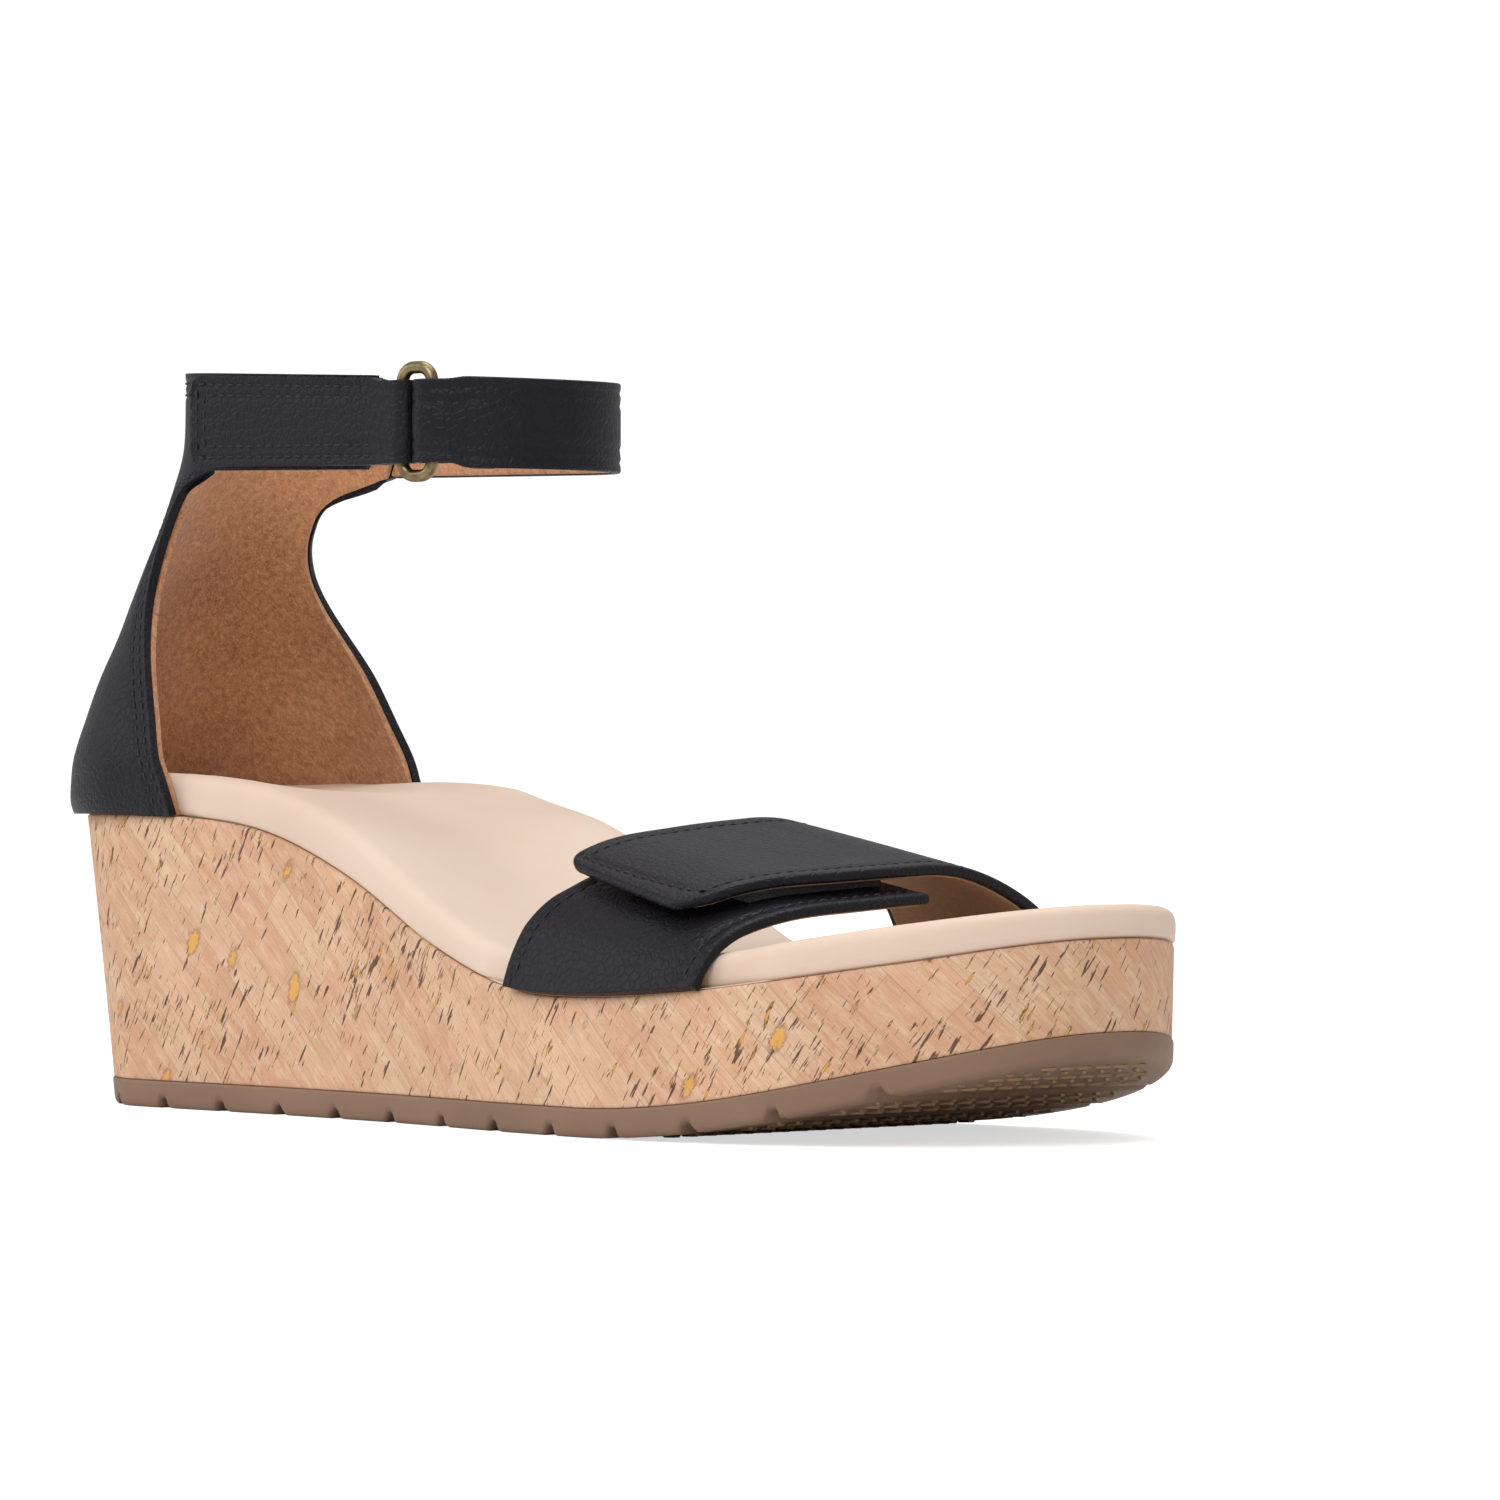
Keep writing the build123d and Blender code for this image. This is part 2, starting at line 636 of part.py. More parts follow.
with BuildPart() as vamp_hook_patch:
    add(vamp_sheet(UNDER_REAR, UNDER_FRONT, 0.1, UNDER_END, STACK - VAMP_GAP - TAPE, TAPE))
    add(patch_block, mode=Mode.INTERSECT)
save(vamp_hook_patch.part, "vamp_hook_patch")

flap_block = plan_block(
    (120, VAMP_SPLIT - 0.05), (120, -20), (154.5, -26.5), (159, -31.2), (189.5, -35.6), (197.5, -32), (240, -10),
    (240, VAMP_SPLIT - 0.05),
)
medial_block = plan_block((120, VAMP_SPLIT + 0.05), (240, VAMP_SPLIT + 0.05), (240, 70), (120, 70))
for label, rise, thick in (("lining", 0, LINING), ("outer", LINING + VAMP_GAP, LEATHER)):
    over = vamp_sheet(OVER_REAR, OVER_FRONT, OVER_START, 1, lambda share: over_strap(share) + rise, thick)
    with BuildPart() as flap:
        add(over)
        add(flap_block, mode=Mode.INTERSECT)
    save(flap.part, f"vamp_flap_{label}")
    with BuildPart() as medial:
        add(over)
        add(medial_block, mode=Mode.INTERSECT)
        add(above_foot, mode=Mode.INTERSECT)
    save(medial.part, f"vamp_medial_{label}")
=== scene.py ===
import bpy
import bmesh
import math
import numpy as np
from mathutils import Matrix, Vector


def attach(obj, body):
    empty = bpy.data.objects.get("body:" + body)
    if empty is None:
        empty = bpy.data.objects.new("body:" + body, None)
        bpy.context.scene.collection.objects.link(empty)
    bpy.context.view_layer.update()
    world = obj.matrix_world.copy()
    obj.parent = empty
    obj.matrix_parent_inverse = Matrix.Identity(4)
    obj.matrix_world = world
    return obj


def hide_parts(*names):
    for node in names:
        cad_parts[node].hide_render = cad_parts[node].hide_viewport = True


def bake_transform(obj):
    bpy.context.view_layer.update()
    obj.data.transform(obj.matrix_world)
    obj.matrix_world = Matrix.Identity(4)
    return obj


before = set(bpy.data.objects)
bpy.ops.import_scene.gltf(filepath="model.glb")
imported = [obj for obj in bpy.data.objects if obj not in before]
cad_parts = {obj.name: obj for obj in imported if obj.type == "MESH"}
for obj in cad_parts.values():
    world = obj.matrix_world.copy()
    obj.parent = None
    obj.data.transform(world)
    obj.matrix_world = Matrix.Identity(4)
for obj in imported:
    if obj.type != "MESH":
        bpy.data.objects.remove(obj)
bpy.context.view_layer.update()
MM = 0.001
HEEL_SEAT = 30.0  # shapes are worked out from the heel's back, this far behind the frame's origin

# ---------------------------------------------------------------- driving dimensions, in millimetres
HEEL_X, TOE_X = -1.5, 256.0
HEEL_CAP, HEEL_POWER = 31.0, 2.1
TOE_CAP, TOE_POWER, TOE_SWING = 53.0, 2.35, 5.0
SPRING_START, SPRING_RATE = 169.0, 0.00205
OUTSOLE_THICK = 5.1
GROOVES = [23 + 17.5 * i for i in range(13)]
LATERAL = [(-1.5, 28.5), (30, 31.5), (72, 32), (113, 34.5), (154, 41), (184, 44), (220, 41), (256, 35)]
MEDIAL = [(-1.5, 28.5), (30, 31.5), (72, 31), (113, 28.5), (154, 33.5), (184, 39), (220, 39.5), (256, 35)]
WEDGE_TOP = [(-1.5, 55.3), (48, 54.9), (73, 52.2), (97, 44.6), (124, 32.6), (150, 25.4), (172, 24.4),
             (202, 26.4), (236, 31.2), (256, 35.3)]
RIM = [(-1.5, 8.6), (60, 8.0), (97, 8.8), (124, 7.4), (150, 6.2), (172, 6.0),
       (202, 6.3), (236, 6.8), (256, 6.2)]
LAYERS = 3.18
TAPE = 0.8
STRAP_THICK = 2.5
STRAP_LEATHER = 1.15
HALF = STRAP_THICK / 2
BAND_BACK = (49.2, 1.2, 25.3)
STRAP_FRONT = (99.2, 0.0, 22.35)
STRAP_BACK = (49.2, 1.2, BAND_BACK[2] - LAYERS / 2)
BAND_END, STRAP_START, TAB_TIP = 90.0, 43.0, 47.5
TAPE_GAP = 0.45  # clearance between the band and its loop tape
TAB_BACK = (49.2, 1.2, BAND_BACK[2] + TAPE_GAP + 2 * TAPE + 0.06 + 0.04 + HALF)
RING_TURN, RING_WIRE, RING_HALF, RING_HEIGHT, RING_CORNER = 14.0, 1.15, 3.25, 22.1, 2.6
VAMP_CROWN, VAMP_FALL, VAMP_CLEAR, VAMP_TIP = 50.0, 0.205, 0.15, 6.0
QUARTER = [(53.0, 30.0, 32.6, 31.4), (57, 28.9, 33.5, 31.8), (61, 29.3, 33.8, 31.8), (66, 30.2, 33.8, 31.2),
           (73, 30.7, 32.0, 29.4), (81, 31.6, 29.9, 27.0), (89, 32.8, 27.3, 24.4), (96, 33.4, 25.2, 22.4),
           (103, 35.4, 23.9, 21.0), (110, 39.9, 24.0, 20.0), (117, 44.8, 24.8, 19.5), (124, 48.4, 25.2, 19.1),
           (131, 49.2, 25.3, 19.0), (142, 49.2, 25.3, 19.0)]
LATERAL_EDGE = [(46.5, 52), (45.6, 58), (42, 66), (35.5, 80), (29, 94),
                (27.8, 102), (30, 110), (37, 117), (47, 120.1)]
MEDIAL_EDGE = [(43.5, 52), (42.8, 58), (39.5, 66), (33, 80), (25.5, 94),
               (23.5, 102), (25.5, 110), (31, 116.4), (43, 120.1)]
ARCH = [(0, 0), (0.02, 0.22), (0.05, 0.42), (0.11, 0.61), (0.24, 0.79), (0.42, 0.885), (0.6, 0.955),
        (0.74, 1.0), (0.86, 0.9), (0.94, 0.68), (0.98, 0.38), (1, 0)]
UNDER_REAR = [(0, 151), (0.05, 153.5), (0.15, 158), (0.4, 161.5), (0.7, 164)]
UNDER_FRONT = [(0, 201.5), (0.11, 203.5), (0.34, 205.5), (0.7, 207)]
OVER_REAR = [(0, 155.5), (0.3, 158.5), (0.6, 162), (0.8, 166), (1, 170.5)]
OVER_FRONT = [(0, 193), (0.1, 195.5), (0.34, 201), (0.6, 204), (0.8, 205.8), (1, 206.5)]
VAMP_STACK = 1.1 + 1.2 + 2 * TAPE + 0.4


# ---------------------------------------------------------------- shape functions
def clamp(t, low=0.0, high=1.0):
    return min(max(t, low), high)


def ease(t):
    t = clamp(t)
    return t * t * (3 - 2 * t)


def smooth(table, x):
    """Cubic through the table's points, with slopes taken from the neighbours."""
    if x <= table[0][0]:
        return table[0][1]
    if x >= table[-1][0]:
        return table[-1][1]
    i = max(k for k in range(len(table) - 1) if table[k][0] <= x)

    def slope(k):
        a, b = max(k - 1, 0), min(k + 1, len(table) - 1)
        return (table[b][1] - table[a][1]) / (table[b][0] - table[a][0])

    (x0, y0), (x1, y1) = table[i], table[i + 1]
    h = x1 - x0
    t = (x - x0) / h
    return (y0 * (1 + 2 * t) * (1 - t) ** 2 + slope(i) * h * t * (1 - t) ** 2
            + y1 * t * t * (3 - 2 * t) + slope(i + 1) * h * t * t * (t - 1))


def wedge_top(x):
    return smooth(WEDGE_TOP, x)


def rim(x):
    return wedge_top(x) + smooth(RIM, x)


def ground(x):
    return SPRING_RATE * max(x - SPRING_START, 0.0) ** 2


def outsole_top(x):
    return ground(x) + OUTSOLE_THICK - 1.2 * clamp((x - 215) / 41) ** 2


def edge_y(x, side):
    cap = 1.0
    if x < HEEL_X + HEEL_CAP:
        cap = (1 - clamp((HEEL_X + HEEL_CAP - x) / HEEL_CAP) ** HEEL_POWER) ** (1 / HEEL_POWER)
    if x > TOE_X - TOE_CAP:
        cap = (1 - clamp((x - TOE_X + TOE_CAP) / TOE_CAP) ** TOE_POWER) ** (1 / TOE_POWER)
    centre = TOE_SWING * clamp((x - 123) / 133) ** 2
    return centre + side * smooth(LATERAL if side < 0 else MEDIAL, x) * cap


def outline_point(turn):
    turn = turn % 1.0
    x = HEEL_X + (TOE_X - HEEL_X) * (1 - math.cos(2 * math.pi * turn)) / 2
    return x, edge_y(x, -1 if turn <= 0.5 else 1)


def outline_frame(count):
    """Evenly spaced points round the sole: position, outward normal, arc length."""
    fine = 4000
    pts = np.array([outline_point(i / fine) for i in range(fine)])
    step = np.linalg.norm(np.roll(pts, -1, 0) - pts, axis=1)
    arc = np.concatenate([[0], np.cumsum(step)])
    rows = []
    for k in range(count):
        s = arc[-1] * k / count
        i = min(int(np.searchsorted(arc, s, side="right")) - 1, fine - 1)
        w = (s - arc[i]) / max(step[i], 1e-9)
        turn = (i + w) / fine
        x, y = outline_point(turn)
        ax, ay = outline_point(turn - 0.004)
        bx, by = outline_point(turn + 0.004)
        length = math.hypot(bx - ax, by - ay)
        rows.append((x, y, (by - ay) / length, (ax - bx) / length, s))
    return rows, arc[-1]


OUTLINE, OUTLINE_LENGTH = outline_frame(720)


def wall_point(station, z, grow=0.0):
    """Point on the wedge's leaning wall above an outline station."""
    x, y, nx, ny, _ = station
    lean = (0.04 + 0.11 * max(-nx, 0)) * clamp((150 - x) / 110) + 0.03 * max(nx, 0)
    out = grow - lean * (wedge_top(x) - z)
    return (x + out * nx, y + out * ny, z)


def bed(x, y):
    across = clamp((y + 8) / 34)
    arch = 4.6 * clamp(1 - ((x - 122) / 42) ** 2) ** 2 * across * across * (3 - 2 * across)
    medial_drop = 2.4 * clamp((75 - x) / 40) * across
    cup = 3.0 * clamp((85 - x) / 30) * clamp(1 - (y / 27) ** 2) * clamp((x + 3) / 22)
    return rim(x) + arch - cup - medial_drop


def quarter_inset(x):
    """How far the footbed stands in from the wedge's wall inside the quarter."""
    return 2.3 * (1 - ease((x - 43) / 14))


def bed_inset(x):
    """The same for the whole footbed: it is also squeezed in under the vamp straps."""
    return quarter_inset(x) + 2.6 * ease((x - 141) / 10) * ease((217 - x) / 10)


def band_low(x):
    return 121.1 - 0.0216 * x


def band_high(x):
    return 140.6 - 0.046 * x


class Loop:
    """Line round the ankle that hulls two circles. Its arc starts behind the ankle and runs to medial."""

    def __init__(self, back, front):
        self.back, self.front = back, front
        (x1, y1, r1), (x2, y2, r2) = back, front
        gap = math.hypot(x2 - x1, y2 - y1)
        base = math.atan2(y2 - y1, x2 - x1)
        tilt = math.acos((r1 - r2) / gap)
        self.medial, self.lateral = base + tilt, base - tilt
        self.line = math.sqrt(gap * gap - (r1 - r2) ** 2)
        self.s1 = r1 * (math.pi - self.medial)
        self.s2 = self.s1 + self.line
        self.s3 = self.s2 + r2 * (self.medial - self.lateral)
        self.s4 = self.s3 + self.line
        self.length = self.s4 + r1 * (self.lateral + math.pi)

    def at(self, s):
        """(x, y, outward normal x, outward normal y) at arc length s; negative s is the lateral side."""
        s = s % self.length
        (x1, y1, r1), (x2, y2, r2) = self.back, self.front
        if s <= self.s1:
            angle = math.pi - s / r1
            return x1 + r1 * math.cos(angle), y1 + r1 * math.sin(angle), math.cos(angle), math.sin(angle)
        if s <= self.s2:
            return self.on_line(self.medial, (s - self.s1) / self.line, self.back, self.front)
        if s <= self.s3:
            angle = self.medial - (s - self.s2) / r2
            return x2 + r2 * math.cos(angle), y2 + r2 * math.sin(angle), math.cos(angle), math.sin(angle)
        if s <= self.s4:
            return self.on_line(self.lateral, (s - self.s3) / self.line, self.front, self.back)
        angle = self.lateral - (s - self.s4) / r1
        return x1 + r1 * math.cos(angle), y1 + r1 * math.sin(angle), math.cos(angle), math.sin(angle)

    @staticmethod
    def on_line(angle, t, start, end):
        """Point and normal at share t of the straight run between two circles."""
        (xa, ya, ra), (xb, yb, rb) = start, end
        c, n = math.cos(angle), math.sin(angle)
        return (xa + ra * c) * (1 - t) + (xb + rb * c) * t, (ya + ra * n) * (1 - t) + (yb + rb * n) * t, c, n

    def arc_of(self, x, side):
        """Arc length where the medial (side 1) or lateral (side -1) half reaches x; lateral is negative."""
        low, high = 0.0, (self.s1 + self.line + self.front[2] * 0.9)
        for _ in range(50):
            mid = (low + high) / 2
            if self.at(side * mid)[0] < x:
                low = mid
            else:
                high = mid
        return side * low


def quarter_loop(z):
    rows = QUARTER
    cx = smooth([(r[0], r[1]) for r in rows], z)
    radius = smooth([(r[0], r[2]) for r in rows], z)
    front = smooth([(r[0], r[3]) for r in rows], z)
    shift = BAND_BACK[1] * clamp((z - 70) / 50)
    return Loop((cx, shift, radius), (STRAP_FRONT[0], 0.0, front))


def edge_x(table, z):
    return smooth([(h, x) for x, h in table], z)


def vamp_point(x, share, rise):
    base = wedge_top(x) - 1.0
    top = VAMP_CROWN - VAMP_FALL * (x - 160)
    lateral, medial = edge_y(x, -1) - VAMP_CLEAR, edge_y(x, 1) + VAMP_CLEAR

    def at(t):
        return lateral + (medial - lateral) * t, base + (top - base) * smooth(ARCH, t)

    (ya, za), (yb, zb) = at(clamp(share - 0.004)), at(clamp(share + 0.004))
    y, z = at(share)
    length = math.hypot(yb - ya, zb - za)
    return (x, y - rise * (zb - za) / length, z + rise * (yb - ya) / length)


def over_strap(share):
    return VAMP_STACK * (1 - ease((share - 0.62) / 0.34))


# ---------------------------------------------------------------- mesh helpers
def place(p):
    """A point in millimetres from the heel's back, as a place in the frame, in metres."""
    return ((p[0] - HEEL_SEAT) * MM, p[1] * MM, p[2] * MM)


def new_object(name, verts, faces, material, uvs=None, smooth_shade=True):
    """Mesh object from points in millimetres; uvs holds one (u, v) per vertex, in millimetres."""
    mesh = bpy.data.meshes.new(name)
    mesh.from_pydata([place(p) for p in verts], [], faces)
    if uvs is not None:
        layer = mesh.uv_layers.new(name="mm")
        index = np.zeros(len(mesh.loops), np.int32)
        mesh.loops.foreach_get("vertex_index", index)
        layer.data.foreach_set("uv", np.asarray(uvs, np.float32)[index].ravel())
    mesh.materials.append(material)
    if smooth_shade:
        mesh.shade_smooth()
    obj = bpy.data.objects.new(name, mesh)
    bpy.context.scene.collection.objects.link(obj)
    return obj


def grid_object(name, points, material, uvs=None, flip=False, wrap=False):
    """Quad sheet from points[row][column]. wrap joins the last row to the first."""
    rows, cols = len(points), len(points[0])
    verts = [p for row in points for p in row]
    faces = []
    for i in range(rows if wrap else rows - 1):
        j2 = (i + 1) % rows
        for j in range(cols - 1):
            quad = (i * cols + j, j2 * cols + j, j2 * cols + j + 1, i * cols + j + 1)
            faces.append(quad[::-1] if flip else quad)
    flat = [uv for row in uvs for uv in row] if uvs is not None else None
    obj = new_object(name, verts, faces, material, flat)
    if wrap and uvs is not None:
        layer = obj.data.uv_layers[0].data
        for poly in obj.data.polygons[-(cols - 1):]:
            for k in poly.loop_indices:
                if obj.data.loops[k].vertex_index < cols:
                    layer[k].uv[0] += OUTLINE_LENGTH
    return obj


def thicken(obj, thickness, round_edge=0.45, segments=3, offset=-1, even=True):
    solid = obj.modifiers.new("thickness", "SOLIDIFY")
    solid.thickness = thickness * MM
    solid.offset = offset
    solid.use_even_offset = even
    if round_edge:
        bevel = obj.modifiers.new("rounded edges", "BEVEL")
        bevel.width = round_edge * MM
        bevel.segments = segments
        bevel.limit_method = "ANGLE"
        bevel.angle_limit = math.radians(40)
    return obj


def outward_faces(obj, merge=0.0, probe=None, outward=(0, 1, 0)):
    """Makes the faces agree, after merging close points; probe picks a face that must look outward."""
    mesh = bmesh.new()
    mesh.from_mesh(obj.data)
    if merge:
        bmesh.ops.remove_doubles(mesh, verts=mesh.verts, dist=merge)
    bmesh.ops.recalc_face_normals(mesh, faces=mesh.faces)
    if probe and max(mesh.faces, key=probe).normal.dot(Vector(outward)) < 0:
        bmesh.ops.reverse_faces(mesh, faces=mesh.faces)
    mesh.to_mesh(obj.data)
    mesh.free()
    return obj


def worn(obj, slot, *nodes, body="root"):
    """Fixes a piece to its body, in place of the plain solids it stands for; slot is not used."""
    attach(obj, body)
    if nodes:
        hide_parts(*nodes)
    return obj


def bent(obj, slot, *nodes, body, **crease):
    """Bakes a piece's placement into its mesh and hides the plain solids it stands for; slot, body and crease
    are not used.
    """
    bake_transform(obj)
    if nodes:
        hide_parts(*nodes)
    return obj


class Stitches:
    """Collects thread stitches along seam lines into one mesh."""

    def __init__(self):
        self.verts, self.faces = [], []

    def along(self, path, normals, pitch=2.5, length=1.75, radius=0.24, sink=0.06):
        points = np.array(path, float)
        normals = np.array(normals, float)
        step = np.linalg.norm(np.diff(points, axis=0), axis=1)
        arc = np.concatenate([[0], np.cumsum(step)])
        count = int(arc[-1] // pitch)
        for k in range(count):
            s = (k + 0.5) * arc[-1] / max(count, 1)
            centre = np.array([np.interp(s, arc, points[:, a]) for a in range(3)])
            ahead = np.array([np.interp(min(s + 0.6, arc[-1]), arc, points[:, a]) for a in range(3)])
            behind = np.array([np.interp(max(s - 0.6, 0), arc, points[:, a]) for a in range(3)])
            normal = np.array([np.interp(s, arc, normals[:, a]) for a in range(3)])
            tangent = ahead - behind
            tangent /= np.linalg.norm(tangent) + 1e-9
            normal -= tangent * (normal @ tangent)
            normal /= np.linalg.norm(normal) + 1e-9
            side = np.cross(normal, tangent)
            self.capsule(centre + normal * (radius * 0.55 - sink), tangent, side, normal, length, radius)

    def capsule(self, centre, tangent, side, normal, length, radius):
        start = len(self.verts)
        rings, around = 6, 8
        for i in range(rings + 1):
            t = -math.cos(math.pi * i / rings)
            width = math.sqrt(max(1 - t ** 4, 0.0)) * radius
            bow = -0.22 * t * t
            for j in range(around):
                a = 2 * math.pi * j / around
                p = (centre + tangent * (t * length / 2) + side * (math.cos(a) * width)
                     + normal * (math.sin(a) * width + bow))
                self.verts.append(tuple(p))
        for i in range(rings):
            for j in range(around):
                a, b = start + i * around + j, start + i * around + (j + 1) % around
                self.faces.append((a, b, b + around, a + around))

    def build(self, name, material):
        return outward_faces(new_object(name, self.verts, self.faces, material), merge=1e-7)


# ---------------------------------------------------------------- materials
class Graph:
    """Short way to write a node material."""

    def __init__(self, name):
        self.material = bpy.data.materials.new(name)
        self.material.use_nodes = True
        self.tree = self.material.node_tree
        self.shader = self.tree.nodes["Principled BSDF"]
        self.coords = self.tree.nodes.new("ShaderNodeTexCoord")

    def plug(self, socket, value):
        if value is None:
            return
        if isinstance(value, bpy.types.NodeSocket):
            self.tree.links.new(value, socket)
        else:
            socket.default_value = value

    def node(self, kind, out=0, inputs=None, **settings):
        item = self.tree.nodes.new("ShaderNode" + kind)
        for key, value in settings.items():
            setattr(item, key, value)
        for key, value in (inputs or {}).items():
            self.plug(item.inputs[key], value)
        return item.outputs[out]

    def place(self, vector=None, scale=(1, 1, 1), rotate=(0, 0, 0), move=(0, 0, 0)):
        vector = vector or self.coords.outputs["Object"]
        inputs = {"Vector": vector, "Scale": scale, "Rotation": rotate, "Location": move}
        return self.node("Mapping", inputs=inputs)

    def noise(self, vector, scale, detail=4, rough=0.55, distort=0.0):
        return self.node("TexNoise", 0, {"Vector": vector, "Scale": scale, "Detail": detail,
                                         "Roughness": rough, "Distortion": distort})

    def math(self, operation, a, b=0.0, clamp_it=False):
        return self.node("Math", 0, {0: a, 1: b}, operation=operation, use_clamp=clamp_it)

    def ramp(self, value, stops):
        item = self.tree.nodes.new("ShaderNodeValToRGB")
        self.plug(item.inputs[0], value)
        while len(item.color_ramp.elements) < len(stops):
            item.color_ramp.elements.new(0.5)
        for element, (place, colour) in zip(item.color_ramp.elements, stops):
            element.position = place
            element.color = (*colour, 1) if len(colour) == 3 else colour
        return item.outputs[0]

    def level(self, value, low, high):
        return self.node("MapRange", 0, {0: value, 1: low, 2: high}, clamp=True)

    def mix(self, share, a, b, blend="MIX"):
        item = self.tree.nodes.new("ShaderNodeMix")
        item.data_type = "RGBA"
        item.blend_type = blend
        self.plug(item.inputs[0], share)
        self.plug(item.inputs[6], a if not isinstance(a, tuple) else (*a, 1))
        self.plug(item.inputs[7], b if not isinstance(b, tuple) else (*b, 1))
        return item.outputs[2]

    def bump(self, height, strength, distance_mm, normal=None):
        return self.node("Bump", 0, {"Strength": strength, "Distance": distance_mm * MM, "Height": height,
                                     "Normal": normal})

    def finish(self, colour, roughness, normal=None, **more):
        self.plug(self.shader.inputs["Base Color"], (*colour, 1) if isinstance(colour, tuple) else colour)
        self.plug(self.shader.inputs["Roughness"], roughness)
        self.plug(self.shader.inputs["Normal"], normal)
        for key, value in more.items():
            self.plug(self.shader.inputs[key], value)
        return self.material


def srgb(*values):
    return tuple(((v / 255 + 0.055) / 1.055) ** 2.4 if v > 10 else v / 255 / 12.92 for v in values)


def leather_material(name, dark, light, rough=0.42, grain=0.35):
    g = Graph(name)
    p = g.place()
    pebble = g.node("TexVoronoi", 0, {"Vector": g.place(scale=(1, 1, 1)), "Scale": 1150.0}, feature="F1")
    crease = g.node("TexVoronoi", 0, {"Vector": p, "Scale": 620.0}, feature="DISTANCE_TO_EDGE")
    fine = g.noise(p, 2600.0, 3, 0.6)
    broad = g.noise(p, 45.0, 3, 0.5)
    crease_relief_and_shade = g.level(crease, 0.0, 0.16)
    height = g.math("ADD", g.math("MULTIPLY", crease_relief_and_shade, 0.55), g.math("MULTIPLY", pebble, -0.35))
    height = g.math("ADD", height, g.math("MULTIPLY", fine, 0.35))
    # painted shade: the grain's creases are darker in colour, mixed into the random tone
    tone = g.math("ADD", g.math("MULTIPLY", broad, 0.8), g.math("MULTIPLY", crease_relief_and_shade, 0.2))
    colour = g.mix(g.level(tone, 0.25, 0.85), dark, light)
    shine = g.math("ADD", g.math("MULTIPLY", broad, 0.16), rough - 0.08)
    soft = g.bump(g.noise(p, 160.0, 2, 0.5), 0.25, 0.5)
    return g.finish(colour, shine, g.bump(height, grain, 0.16, soft), **{"Specular IOR Level": 0.2})


def suede_material(name, dark, light):
    g = Graph(name)
    p = g.place()
    slant = g.place(g.place(rotate=(0, math.radians(38), 0)), (1, 1, 0.45))
    blotch = g.noise(p, 28.0, 2, 0.5)
    nap = g.noise(slant, 950.0, 4, 0.75)
    fuzz = g.noise(slant, 2600.0, 3, 0.7)
    tone = g.math("ADD", g.math("MULTIPLY", blotch, 0.38), g.math("MULTIPLY", nap, 0.62))
    colour = g.mix(g.level(tone, 0.36, 0.64), dark, light)
    colour = g.mix(g.math("MULTIPLY", g.level(fuzz, 0.48, 0.70), 0.45), colour, tuple(1.5 * c for c in light))
    height = g.math("ADD", g.math("MULTIPLY", nap, 0.6), g.math("MULTIPLY", fuzz, 0.5))
    return g.finish(colour, 0.95, g.bump(height, 1.0, 0.5), **{"Sheen Weight": 0.35, "Sheen Roughness": 0.5,
                    "Specular IOR Level": 0.15})


def footbed_material():
    g = Graph("footbed_leather")
    p = g.place()
    broad = g.noise(p, 22.0, 3, 0.5)
    grain = g.noise(p, 1500.0, 3, 0.55)
    pores = g.node("TexVoronoi", 0, {"Vector": p, "Scale": 900.0})
    colour = g.mix(g.level(broad, 0.3, 0.7), srgb(219, 194, 174), srgb(228, 205, 187))
    height = g.math("ADD", g.math("MULTIPLY", grain, 0.6), g.math("MULTIPLY", pores, 0.4))
    rough = g.math("ADD", g.math("MULTIPLY", grain, 0.12), 0.5)
    return g.finish(colour, rough, g.bump(height, 0.18, 0.12), **{"Specular IOR Level": 0.35,
                    "Subsurface Weight": 0.05, "Subsurface Radius": (0.004, 0.002, 0.001)})


def rubber_material():
    g = Graph("outsole_rubber")
    p = g.place()
    broad = g.noise(p, 30.0, 3, 0.5)
    fine = g.noise(p, 900.0, 4, 0.6)
    colour = g.mix(g.level(broad, 0.3, 0.7), srgb(128, 100, 82), srgb(142, 112, 91))
    rough = g.math("ADD", g.math("MULTIPLY", fine, 0.2), 0.42)
    return g.finish(colour, rough, g.bump(fine, 0.15, 0.1), **{"Subsurface Weight": 0.15,
                    "Subsurface Radius": (0.004, 0.003, 0.002), "Specular IOR Level": 0.4})


